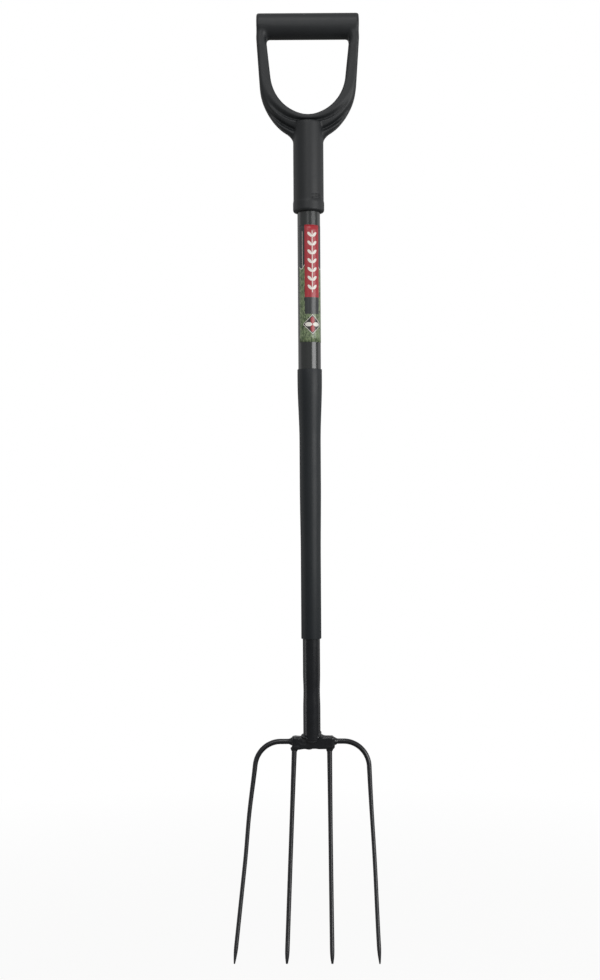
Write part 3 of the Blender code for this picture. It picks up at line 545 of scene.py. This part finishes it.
# Blind rivet: through the back of socket and tube, with a domed head and the pulled mandrel's pit in its
# middle. The hidden pin that joins the two tubes is plated in the same way.
rivet_low, rivet_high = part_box("grip_rivet")
RIVET_LEVEL = (rivet_low.z + rivet_high.z) / 2
HEAD_RADIUS = rivet_high.x
HEAD_TOP = rivet_high.y
HEAD_DOME = 1.1 * MM
HEAD_HEIGHT = 1.5 * MM
PIT_RADIUS = 0.9 * MM
PIT_LIP_RADIUS = 1.1 * MM
PIT_LIP_DROP = 0.1 * MM
PIT_DEPTH = 0.7 * MM
SHANK_RADIUS = 2.2 * MM
# Zinc plate: a bright grey metal with small passivation clouds over a grain that is drawn coarse. They blur
# what it mirrors.
zinc = mottled_finish("zinc_plated_steel", ("#9a9c9c", "#b9bbba"), (0.28, 0.42),
                      cloud=2 * MM, grain=0.35 * MM, depth=0.02 * MM, strength=0.1, Metallic=1.0)

profile = [(0.0, HEAD_TOP - PIT_DEPTH), (PIT_RADIUS, HEAD_TOP - PIT_DEPTH)]
profile += [(PIT_LIP_RADIUS, HEAD_TOP - PIT_LIP_DROP)]
profile += [(HEAD_RADIUS * math.sin(a), HEAD_TOP - HEAD_DOME * (1 - math.cos(a)))
            for a in (math.radians(d) for d in range(20, 91, 10))]
profile += [(HEAD_RADIUS, HEAD_TOP - HEAD_HEIGHT), (SHANK_RADIUS, HEAD_TOP - HEAD_HEIGHT)]
profile += [(SHANK_RADIUS, rivet_low.y), (0.0, rivet_low.y)]
bm = turned(profile, sides=48, closed=False)
turn = Matrix.Translation((0.0, 0.0, RIVET_LEVEL)) @ Matrix.Rotation(-math.pi / 2, 4, "X")
bmesh.ops.transform(bm, matrix=turn, verts=bm.verts)
fit_piece(bm, "blind_rivet", zinc, ["grip_rivet"])
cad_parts["joint_pin"].material_slots[0].material = zinc

# Label: printed and varnished film, wrapped most of the way round the tube below the grip. Its design
# is a plain one: a sprig on a red field, a wave of leafy green, and a flower in a dark lozenge.
label_low, label_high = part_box("label")
LABEL_START = math.radians(-57)
LABEL_WRAP = math.radians(300)
FILM = 0.12 * MM
GLUE = 0.05 * MM
film_radius = UPPER_RADIUS + GLUE
bm = bmesh.new()
made = bmesh.ops.create_grid(bm, x_segments=120, y_segments=24, size=1.0)["verts"]
# The label's own chart: millimetres across from its left edge, and down from its top edge
wrap = bm.loops.layers.uv.new("wrap")
for face in bm.faces:
    for loop in face.loops:
        loop[wrap].uv = ((loop.vert.co.x + 1) / 2 * LABEL_WRAP * film_radius / MM,
                         (1 - loop.vert.co.y) / 2 * (label_high.z - label_low.z) / MM)
for vert in made:
    angle = LABEL_START + LABEL_WRAP * (vert.co.x + 1) / 2
    level = label_low.z + (label_high.z - label_low.z) * (vert.co.y + 1) / 2
    vert.co = (film_radius * math.sin(angle), -film_radius * math.cos(angle), level)

# Printed film: flat inks with crisp edges under one coat of gloss varnish, which runs a highlight over
# them. The varnish ripples a little, every 6 mm or so, and its gloss drifts with the ripples.
RIPPLE_WIDTH = 6.25
film_print, tree, shader = new_finish("printed_varnished_film")
chart = add_node(tree, "UVMap", uv_map="wrap").outputs["UV"]
spot = add_node(tree, "SeparateXYZ", {"Vector": chart})
across, down = spot.outputs["X"], spot.outputs["Y"]
shade = add_node(tree, "TexNoise", {"Vector": chart, "Scale": 1 / RIPPLE_WIDTH, "Detail": 3.0})
gloss = add_node(tree, "MapRange", {"Value": shade.outputs["Fac"], "To Min": 0.25, "To Max": 0.35})
ripple = add_node(tree, "Bump", {"Height": shade.outputs["Fac"], "Strength": 0.3, "Distance": 0.05 * MM})
tree.links.new(gloss.outputs["Result"], shader.inputs["Roughness"])
tree.links.new(ripple.outputs["Normal"], shader.inputs["Normal"])

# Inks, and the design's places and sizes in the chart's millimetres. The wave turns by this many radians
# to each millimetre across.
GREY_INK, RED_INK, CREAM_INK, DARK_INK = "#323536", "#a52b34", "#e4e0d8", "#332e2c"
LABEL_MIDDLE = 18.3
FIELD_HALF_WIDTH = 9.8
SPRIG_LEVEL = 46.0
SPRIG_HALF_LENGTH = 38.5
WAVE_LEVEL = 52.0
WAVE_HEIGHT = 3.0
WAVE_TURN = 0.45
CREST_HALF_WIDTH = 0.6
LEAF_START, LEAF_PITCH = 7.5, 11.0
LEAF_OUT, LEAF_LEVEL = 3.2, 12.0
LEAF_HALF_LENGTH, LEAF_HALF_WIDTH = 3.7, 1.75
LEAF_SLANT = math.radians(-48)
FLOWER_LEVEL = 124.5
LOZENGE_REACH = 12.6
BORDER_REACH, BORDER_HALF_WIDTH = 12.0, 0.4
PETAL_OUT = 5.0
PETAL_HALF_LENGTH, PETAL_HALF_WIDTH = 4.6, 2.6

# Leafy print of slanting blades, about 1.6 mm wide and 4 mm long, and the wave with a cream edge where it
# begins, 14 mm from crest to crest
stretched = add_node(tree, "Mapping", {"Vector": chart, "Rotation": (0.0, 0.0, math.radians(25)),
                                       "Scale": (0.62, 0.24, 1.0)})
blades = add_node(tree, "TexNoise", {"Vector": stretched.outputs["Vector"], "Scale": 1.0, "Detail": 3.0,
                                     "Distortion": 0.9})
leaves = add_node(tree, "MapRange", {"Value": blades.outputs["Fac"], "From Min": 0.33, "From Max": 0.63})
deep = add_node(tree, "MapRange", {"Value": shade.outputs["Fac"], "From Min": 0.4, "From Max": 0.6})
dark_leaf = add_node(tree, "Mix", {"Factor": deep.outputs["Result"], "A": linear("#1c271f"),
                                   "B": linear("#4b613d")}, data_type="RGBA")
leafy = add_node(tree, "Mix", {"Factor": leaves.outputs["Result"], "A": linear("#93a37c"),
                               "B": dark_leaf.outputs["Result"]}, data_type="RGBA")
angle = add_node(tree, "Math", {0: across, 1: WAVE_TURN}, operation="MULTIPLY")
swing = add_node(tree, "Math", {0: angle.outputs["Value"]}, operation="SINE")
wave = add_node(tree, "Math", {0: swing.outputs["Value"], 1: WAVE_HEIGHT, 2: WAVE_LEVEL},
                operation="MULTIPLY_ADD")
below = add_node(tree, "Math", {0: down, 1: wave.outputs["Value"]}, operation="GREATER_THAN")
crest = add_node(tree, "Math", {0: down, 1: wave.outputs["Value"], 2: CREST_HALF_WIDTH}, operation="COMPARE")
inks = [(below.outputs["Value"], leafy.outputs["Result"]), (crest.outputs["Value"], linear(CREAM_INK))]

# Rule beside the field, red field, grey field below it, and the sprig's stem. Each row holds the middle and
# half width across, the middle and half height down, and the ink.
for middle, half_width, level, half_height, ink in (
        (5.4, 0.3, 30.0, 22.0, CREAM_INK),
        (LABEL_MIDDLE, FIELD_HALF_WIDTH, 45.0, 46.0, RED_INK),
        (LABEL_MIDDLE, FIELD_HALF_WIDTH, 101.0, 10.5, GREY_INK),
        (LABEL_MIDDLE, 0.45, SPRIG_LEVEL, SPRIG_HALF_LENGTH, CREAM_INK)):
    beside = add_node(tree, "Math", {0: across, 1: middle, 2: half_width}, operation="COMPARE")
    within = add_node(tree, "Math", {0: down, 1: level, 2: half_height}, operation="COMPARE")
    field = add_node(tree, "Math", {0: beside.outputs["Value"], 1: within.outputs["Value"]},
                     operation="MULTIPLY")
    inks.append((field.outputs["Value"], linear(ink)))

# Pairs of leaves up the stem, one pair to each pitch
off = add_node(tree, "Math", {0: across, 1: LABEL_MIDDLE}, operation="SUBTRACT")
aside = add_node(tree, "Math", {0: off.outputs["Value"]}, operation="ABSOLUTE")
step = add_node(tree, "Math", {0: down, 1: LEAF_START + LEAF_PITCH, 2: LEAF_START}, operation="WRAP")
pair = add_node(tree, "CombineXYZ", {"X": aside.outputs["Value"], "Y": step.outputs["Value"]})
leaf = add_node(tree, "Mapping", {"Vector": pair.outputs["Vector"], "Location": (LEAF_OUT, LEAF_LEVEL, 0.0),
                                  "Rotation": (0.0, 0.0, LEAF_SLANT),
                                  "Scale": (LEAF_HALF_LENGTH, LEAF_HALF_WIDTH, 1.0)}, vector_type="TEXTURE")
reach = add_node(tree, "VectorMath", {0: leaf.outputs["Vector"]}, operation="LENGTH")
blade = add_node(tree, "Math", {0: reach.outputs["Value"], 1: 1.0}, operation="LESS_THAN")
within = add_node(tree, "Math", {0: down, 1: SPRIG_LEVEL, 2: SPRIG_HALF_LENGTH}, operation="COMPARE")
sprig = add_node(tree, "Math", {0: blade.outputs["Value"], 1: within.outputs["Value"]}, operation="MULTIPLY")
inks.append((sprig.outputs["Value"], linear(CREAM_INK)))

# Lozenge with a flower of four petals, two of them red
fall = add_node(tree, "Math", {0: down, 1: FLOWER_LEVEL}, operation="SUBTRACT")
rise = add_node(tree, "Math", {0: fall.outputs["Value"]}, operation="ABSOLUTE")
slant = add_node(tree, "Math", {0: aside.outputs["Value"], 1: rise.outputs["Value"]}, operation="ADD")
lozenge = add_node(tree, "Math", {0: slant.outputs["Value"], 1: LOZENGE_REACH}, operation="LESS_THAN")
border = add_node(tree, "Math", {0: slant.outputs["Value"], 1: BORDER_REACH, 2: BORDER_HALF_WIDTH},
                  operation="COMPARE")
longer = add_node(tree, "Math", {0: aside.outputs["Value"], 1: rise.outputs["Value"]}, operation="MAXIMUM")
shorter = add_node(tree, "Math", {0: aside.outputs["Value"], 1: rise.outputs["Value"]}, operation="MINIMUM")
spot = add_node(tree, "CombineXYZ", {"X": longer.outputs["Value"], "Y": shorter.outputs["Value"]})
petal = add_node(tree, "Mapping", {"Vector": spot.outputs["Vector"], "Location": (PETAL_OUT, 0.0, 0.0),
                                   "Scale": (PETAL_HALF_LENGTH, PETAL_HALF_WIDTH, 1.0)},
                 vector_type="TEXTURE")
reach = add_node(tree, "VectorMath", {0: petal.outputs["Vector"]}, operation="LENGTH")
petals = add_node(tree, "Math", {0: reach.outputs["Value"], 1: 1.0}, operation="LESS_THAN")
upright = add_node(tree, "Math", {0: aside.outputs["Value"], 1: rise.outputs["Value"]}, operation="LESS_THAN")
red_petals = add_node(tree, "Math", {0: petals.outputs["Value"], 1: upright.outputs["Value"]},
                      operation="MULTIPLY")
inks += [(lozenge.outputs["Value"], linear(DARK_INK)), (border.outputs["Value"], linear(CREAM_INK)),
         (petals.outputs["Value"], linear(CREAM_INK)), (red_petals.outputs["Value"], linear(RED_INK))]

# The inks go on the grey ground one over another, in this order
under = linear(GREY_INK)
for mask, ink in inks:
    print_on = add_node(tree, "Mix", {"Factor": mask, "A": under, "B": ink}, data_type="RGBA")
    under = print_on.outputs["Result"]
tree.links.new(under, shader.inputs["Base Color"])
label = fit_piece(bm, "printed_label", film_print, ["label"])
film = label.modifiers.new("Film", "SOLIDIFY")
film.thickness = FILM
film.offset = 1.0

# Bridge: a short steel bar across the foot of the lower tube, in the same black enamel. Its edges are
# forged round and its skin is uneven where weld heat and paint have run over it.
bridge_low, bridge_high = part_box("bridge")
BRIDGE_ROUND = 3.2 * MM
BRIDGE_VOXEL = 0.5 * MM
# A drip of paint, wider than it is deep, has set under the bar to the left of its middle
DRIP_PLACE = Vector((-4.0 * MM, -3.0 * MM, bridge_low.z + 1.4 * MM))
DRIP_RADIUS = 2.4 * MM
DRIP_STRETCH = (2.4, 1.2, 1.0, 1.0)
# Lumps about 10 mm apart and smaller ones on them about 4 mm apart: how many to a metre, and how high
LUMPS, LUMP_HEIGHT = 95.0, 0.8 * MM
SMALL_LUMPS, SMALL_LUMP_HEIGHT = 280.0, 0.25 * MM
SKIN_SINK = 0.4 * MM
bm = bmesh.new()
bmesh.ops.create_cube(bm, size=1.0)
bmesh.ops.scale(bm, verts=bm.verts, vec=bridge_high - bridge_low)
bmesh.ops.bevel(bm, geom=bm.edges[:], offset=BRIDGE_ROUND, segments=4, profile=0.5, affect="EDGES",
                material=-1)
bmesh.ops.translate(bm, verts=bm.verts, vec=(bridge_high + bridge_low) / 2)
bmesh.ops.create_icosphere(bm, subdivisions=3, radius=DRIP_RADIUS,
                           matrix=Matrix.Translation(DRIP_PLACE) @ Matrix.Diagonal(DRIP_STRETCH))
bm = fused(bm, BRIDGE_VOXEL)
soften(bm, 2)
for vert in bm.verts:
    lump = noise.noise(vert.co * LUMPS) * LUMP_HEIGHT
    lump += noise.noise(vert.co * SMALL_LUMPS) * SMALL_LUMP_HEIGHT
    vert.co += (lump - SKIN_SINK) * vert.normal
fit_piece(bm, "bridge_bar", black_paint, ["bridge"], sharp=60)

# Welds: arc beads laid by hand under the paint, each a run of overlapping puddles that leave ripples.
# One goes round the foot of the tube, the others ramp from the rods up to the bar.
ROD_LEVEL = bridge_high.z - 7.1 * MM
INNER_TOP_SPAN = 44.2 * MM
WELD_VOXEL = 0.4 * MM
# Fine ripples about 2.4 mm apart: how many to a metre, and how high
RIPPLES, RIPPLE_HEIGHT = 420.0, 0.14 * MM
TUBE_PUDDLES = 40
RING_PUDDLES = 11
# Rings of puddles out along an outer rod and down an inner one: the ring's place along the rod, its
# radius and the puddles' radius, in millimetres
OUTER_RINGS = ((-0.8, 3.2, 2.0), (0.9, 2.7, 1.8), (2.5, 2.3, 1.5), (3.9, 2.2, 1.25))
INNER_RINGS = ((-1.2, 2.9, 2.0), (0.6, 2.7, 1.9), (2.0, 2.4, 1.5))


def weld_bead(puddles, name, node):
    """One bead, fused from (x, y, z, radius) puddles."""
    bm = bmesh.new()
    for x, y, z, radius in puddles:
        bmesh.ops.create_icosphere(bm, subdivisions=2, radius=radius, matrix=Matrix.Translation((x, y, z)))
    bm = fused(bm, WELD_VOXEL)
    soften(bm, 3)
    for vert in bm.verts:
        vert.co += noise.noise(vert.co * RIPPLES) * RIPPLE_HEIGHT * vert.normal
    fit_piece(bm, name, black_paint, [node], sharp=60)


def puddle_ring(centre, along, distance, radius, start):
    """Puddles round a rod that runs along X or Z, each a little different."""
    ring = []
    for i in range(RING_PUDDLES):
        angle = math.tau * i / RING_PUDDLES + start
        swell = 1 + 0.12 * math.sin(5.3 * i + start)
        spot = Vector((0.0, math.cos(angle), math.sin(angle))) * distance
        if along == "Z":
            spot = Vector((spot.y, spot.z, 0.0))
        ring.append((*(Vector(centre) + spot), radius * swell))
    return ring


# Round the tube, three rows of puddles: at the joint, up the tube, and out over the bar's top. In front
# and behind, where the tube laps the bar, the bead drops down the lap. It is heavier on the right.
puddles = []
for i in range(TUBE_PUDDLES):
    angle = math.tau * i / TUBE_PUDDLES
    across, out = math.cos(angle), math.sin(angle)
    lap = smooth_step((out ** 2 - 0.25) / 0.5)
    right = max(0.0, across) ** 2
    swell = 1 + 0.06 * math.sin(2.9 * i)
    reach = LOWER_RADIUS + (0.3 - 2.7 * lap) * MM
    level = bridge_high.z + (0.1 - 3.7 * lap) * MM
    puddles.append((reach * across, reach * out, level, 2.4 * MM * swell))
    reach = LOWER_RADIUS - (0.5 + 2.0 * lap) * MM
    level = bridge_high.z + (1.6 + 2.4 * right - 8.2 * lap) * MM
    puddles.append((reach * across, reach * out, level, (1.4 + 0.5 * right + 0.7 * lap) * MM * swell))
    if lap < 0.5:
        reach = LOWER_RADIUS + (2.0 + 1.2 * right) * MM
        puddles.append((reach * across, reach * out, bridge_high.z - 0.7 * MM, 1.6 * MM * swell))
weld_bead(puddles, "weld_round_tube", "weld_shaft")

for side, word in ((-1, "left"), (1, "right")):
    end = bridge_high.x if side > 0 else bridge_low.x
    ramp = []
    for out, distance, radius in OUTER_RINGS:
        ramp += puddle_ring((end + side * out * MM, 0.0, ROD_LEVEL), "X", distance * MM, radius * MM, out)
    weld_bead(ramp, f"weld_outer_rod_{word}", f"weld_outer_{word}")
    ramp = []
    for drop, distance, radius in INNER_RINGS:
        centre = (side * INNER_TOP_SPAN / 2, -0.6 * MM, bridge_low.z - drop * MM)
        ramp += puddle_ring(centre, "Z", distance * MM, radius * MM, drop + side)
    weld_bead(ramp, f"weld_inner_rod_{word}", f"weld_inner_{word}")

# Tines: drawn steel rods in the same black enamel, two bent down at the corner from the bridge's ends and
# two from its underside, swept forward and drawn to blunt points.
ROD_SIDES = 28
CORNER_STEPS, STRAIGHT_STEPS, POINT_STEPS = 24, 30, 14
ROD_RADIUS = 3.35 * MM
OUTER_ROD_SINK = 4.5 * MM
INNER_ROD_SINK = 4 * MM
DRAWN_LENGTH = 130 * MM
POINT_LENGTH = 18 * MM
TIP_DOME = 0.2 * MM
CORNER_RADIUS = 32 * MM
SHOULDER_SPAN = 143.4 * MM
OUTER_TIP_SPAN = 176.3 * MM
OUTER_TIP_SHIFT = -8.0 * MM
INNER_TIP_SPAN = 55.1 * MM
INNER_TIP_SHIFT = -5.0 * MM
TIP_DROP = 257.7 * MM
TIP_LEVEL_DIFFERENCE = -1.1 * MM
FORWARD = 69.6 * MM
CURL = 0.45
# How far an outer tine is bent aside, the level of that bow, and its reach up and down
LEFT_BOW = (-1.1 * MM, -0.97, 0.06)
RIGHT_BOW = (0.7 * MM, -1.03, 0.09)
# A tine's radius below its drawn stretch, the radius at its point, and how full the point is
OUTER_SHAPE = (2.6 * MM, 0.85 * MM, 1.55)
INNER_SHAPE = (2.8 * MM, 1.15 * MM, 2.6)


def forward(level):
    """The tines' sweep to the front at a level, straight at first and then curling."""
    share = max(0.0, (ROD_LEVEL - level) / TIP_DROP)
    return -FORWARD * ((1 - CURL) * share + CURL * share * share)


def rod_radius(level, tip, shape):
    """Thick at the bridge, drawn slimmer down its first stretch, then narrowed to a blunt point."""
    tine_radius, point_radius, fullness = shape
    drawn = max(0.0, 1 - max(0.0, ROD_LEVEL - level) / DRAWN_LENGTH)
    radius = tine_radius + (ROD_RADIUS - tine_radius) * drawn * drawn
    to_tip = (level - tip) / POINT_LENGTH
    if to_tip >= 1:
        return radius
    return point_radius + (radius - point_radius) * (1 - (1 - max(0.0, to_tip)) ** fullness)


def tip_level_at(x):
    """The level of a tip, a little lower on the right."""
    return ROD_LEVEL - TIP_DROP + TIP_LEVEL_DIFFERENCE * x / OUTER_TIP_SPAN + 2 * TIP_DOME


def outer_path(side):
    """(x, z) points out of the bridge's end, round the corner and down to the point."""
    centre = Vector((side * (SHOULDER_SPAN / 2 - CORNER_RADIUS), ROD_LEVEL - CORNER_RADIUS))
    tip_x = side * OUTER_TIP_SPAN / 2 + OUTER_TIP_SHIFT
    tip = Vector((tip_x, tip_level_at(tip_x)))
    reach = tip - centre
    turned_by = math.atan2(reach.y, side * reach.x) + math.acos(CORNER_RADIUS / reach.length)
    angles = [math.pi / 2 + (turned_by - math.pi / 2) * i / CORNER_STEPS for i in range(CORNER_STEPS + 1)]
    corner = [(centre.x + side * CORNER_RADIUS * math.cos(a), centre.y + CORNER_RADIUS * math.sin(a))
              for a in angles]
    end = bridge_high.x if side > 0 else bridge_low.x
    start = [(end - side * OUTER_ROD_SINK, ROD_LEVEL), ((end + centre.x) / 2, ROD_LEVEL)]
    run = start + corner + straight(corner[-1], tip)
    bow, level, reach = RIGHT_BOW if side > 0 else LEFT_BOW
    return [(x + bow * smooth_step(1 - abs(z - level) / reach), z) for x, z in run]


def inner_path(side):
    """(x, z) points from inside the bridge down to the point."""
    top = Vector((side * INNER_TOP_SPAN / 2, bridge_low.z + INNER_ROD_SINK))
    tip_x = side * INNER_TIP_SPAN / 2 + INNER_TIP_SHIFT
    return [tuple(top)] + straight(top, Vector((tip_x, tip_level_at(tip_x))))


def straight(start, tip):
    """Points down the straight of a tine, closer together at its point."""
    point_top = tip[1] + POINT_LENGTH
    levels = [start[1] + (point_top - start[1]) * i / STRAIGHT_STEPS for i in range(1, STRAIGHT_STEPS + 1)]
    levels += [point_top - POINT_LENGTH * i / POINT_STEPS for i in range(1, POINT_STEPS + 1)]
    return [(start[0] + (tip[0] - start[0]) * (z - start[1]) / (tip[1] - start[1]), z) for z in levels]


def rod(path, shape):
    """A round rod along (x, z) points, ring bridged to ring and closed at both ends."""
    bm = bmesh.new()
    spots = [Vector((x, forward(z), z)) for x, z in path]
    tip = path[-1][1]
    rings = []
    for i, spot in enumerate(spots):
        along = (spots[min(i + 1, len(spots) - 1)] - spots[max(i - 1, 0)]).normalized()
        turn = Vector((0, 0, -1)).rotation_difference(along).to_matrix().to_4x4()
        ring = bmesh.ops.create_circle(bm, segments=ROD_SIDES, radius=rod_radius(spot.z, tip, shape),
                                       matrix=Matrix.Translation(spot) @ turn)["verts"]
        rings.append(list({edge for vert in ring for edge in vert.link_edges}))
    for ring, following in zip(rings, rings[1:]):
        bmesh.ops.bridge_loops(bm, edges=ring + following)
    bmesh.ops.edgeloop_fill(bm, edges=rings[0])
    end = bmesh.ops.edgeloop_fill(bm, edges=rings[-1])["faces"]
    bmesh.ops.poke(bm, faces=end, offset=TIP_DOME)
    return bm


for side, word in ((-1, "left"), (1, "right")):
    for bent, path, shape in (("outer", outer_path, OUTER_SHAPE), ("inner", inner_path, INNER_SHAPE)):
        tine = rod(path(side), shape)
        fit_piece(tine, f"{bent}_tine_{word}", black_paint, [f"tine_{bent}_{word}"], sharp=50)

# Studio: a pale floor a little below the points, and a white surround. Both light the tool less than they
# show to the camera, and the floor fades to plain white away from the tool.
FLOOR_RADIUS = 30.0
FLOOR_DROP = 0.12
FADE_FROM, FADE_TO = 1.35, 2.0
NEAR_WHITE = 0.88
SURROUND_LIGHT = 0.48
floor_mesh = bpy.data.meshes.new("floor")
bm = bmesh.new()
bmesh.ops.create_circle(bm, cap_ends=True, segments=96, radius=FLOOR_RADIUS,
                        matrix=Matrix.Translation((0.0, 0.0, cad_box[0].z - FLOOR_DROP)))
bm.to_mesh(floor_mesh)
bm.free()
floor = bpy.data.objects.new("floor", floor_mesh)
bpy.context.scene.collection.objects.link(floor)
paper, tree, shader = new_finish("white_paper_floor", Roughness=0.9)
rays = add_node(tree, "LightPath")
tint = add_node(tree, "Mix", {"Factor": rays.outputs["Is Camera Ray"], "A": linear("#8c8c8a"),
                              "B": linear("#f2f2f0")}, data_type="RGBA")
tree.links.new(tint.outputs["Result"], shader.inputs["Base Color"])
where = add_node(tree, "TexCoord").outputs["Object"]
distance = add_node(tree, "VectorMath", {0: where}, operation="LENGTH")
fade = add_node(tree, "MapRange", {"Value": distance.outputs["Value"], "From Min": FADE_FROM,
                                   "From Max": FADE_TO, "To Min": NEAR_WHITE, "To Max": 1.0})
share = add_node(tree, "Math", {0: rays.outputs["Is Camera Ray"], 1: fade.outputs["Result"]},
                 operation="MULTIPLY")
white = add_node(tree, "Emission", {"Color": (1, 1, 1, 1), "Strength": 1.0})
mix = add_node(tree, "MixShader", {0: share.outputs["Value"], 1: shader.outputs["BSDF"],
                                   2: white.outputs["Emission"]})
tree.links.new(mix.outputs["Shader"], tree.nodes["Material Output"].inputs["Surface"])
floor_mesh.materials.append(paper)

world = bpy.data.worlds.new("white_surround")
bpy.context.scene.world = world
world.use_nodes = True
tree = world.node_tree
rays = add_node(tree, "LightPath")
ground = tree.nodes["Background"]
ground.inputs["Color"].default_value = (1, 1, 1, 1)
strength = add_node(tree, "MapRange", {"Value": rays.outputs["Is Camera Ray"], "To Min": SURROUND_LIGHT,
                                       "To Max": 1.0})
tree.links.new(strength.outputs["Result"], ground.inputs["Strength"])

# Lamps: soft boxes. The key stands on the right, one is high in front, one overhead draws the line of
# light along the bar, two wide ones behind edge the tubes, and a small low one draws the line down the left
# of the lower tube.
MIDDLE = (0.0, 0.0, -0.45)


def add_lamp(name, place, target, width, height, watts):
    """A soft rectangular lamp that the camera doesn't see."""
    lamp = bpy.data.lights.new(name, "AREA")
    lamp.shape = "RECTANGLE"
    lamp.size = width
    lamp.size_y = height
    lamp.energy = watts
    holder = bpy.data.objects.new(name, lamp)
    bpy.context.scene.collection.objects.link(holder)
    holder.location = place
    holder.rotation_euler = (Vector(target) - Vector(place)).to_track_quat("-Z", "Y").to_euler()
    holder.visible_camera = False


add_lamp("key_right", (1.46, -1.37, -0.25), MIDDLE, 1.5, 0.75, 20.0)
add_lamp("high_front", (-0.35, -1.97, 0.55), MIDDLE, 0.75, 0.75, 5.5)
add_lamp("overhead", (0.0, -1.3, 1.6), (0.0, 0.0, -0.2), 0.6, 0.45, 7.5)
add_lamp("right_wall", (2.07, 0.75, -0.4), MIDDLE, 1.2, 2.0, 4.0)
add_lamp("left_wall", (-2.07, 0.75, -0.4), MIDDLE, 1.2, 2.0, 3.0)
add_lamp("low_left", (-2.0, -0.1, -1.12), (0.0, 0.0, -0.85), 0.5, 0.4, 1.5)

# Camera: level, square on to the front, about 1.8 m away. It is rolled a third of a degree, as the tool
# leans in the picture.
CAMERA_PLACE = Vector((-13.1 * MM, -1.79, -567.5 * MM))
CAMERA_LENS = 52.2
CAMERA_ROLL = math.radians(-0.36)
lens = bpy.data.cameras.new("camera")
lens.lens = CAMERA_LENS
lens.sensor_width = 36.0
camera = bpy.data.objects.new("camera", lens)
bpy.context.scene.collection.objects.link(camera)
camera.matrix_world = (Matrix.Translation(CAMERA_PLACE) @ Matrix.Rotation(math.pi / 2, 4, "X")
                       @ Matrix.Rotation(CAMERA_ROLL, 4, "Z"))
bpy.context.scene.camera = camera
bpy.context.scene.view_settings.view_transform = "Standard"

bpy.context.view_layer.update()
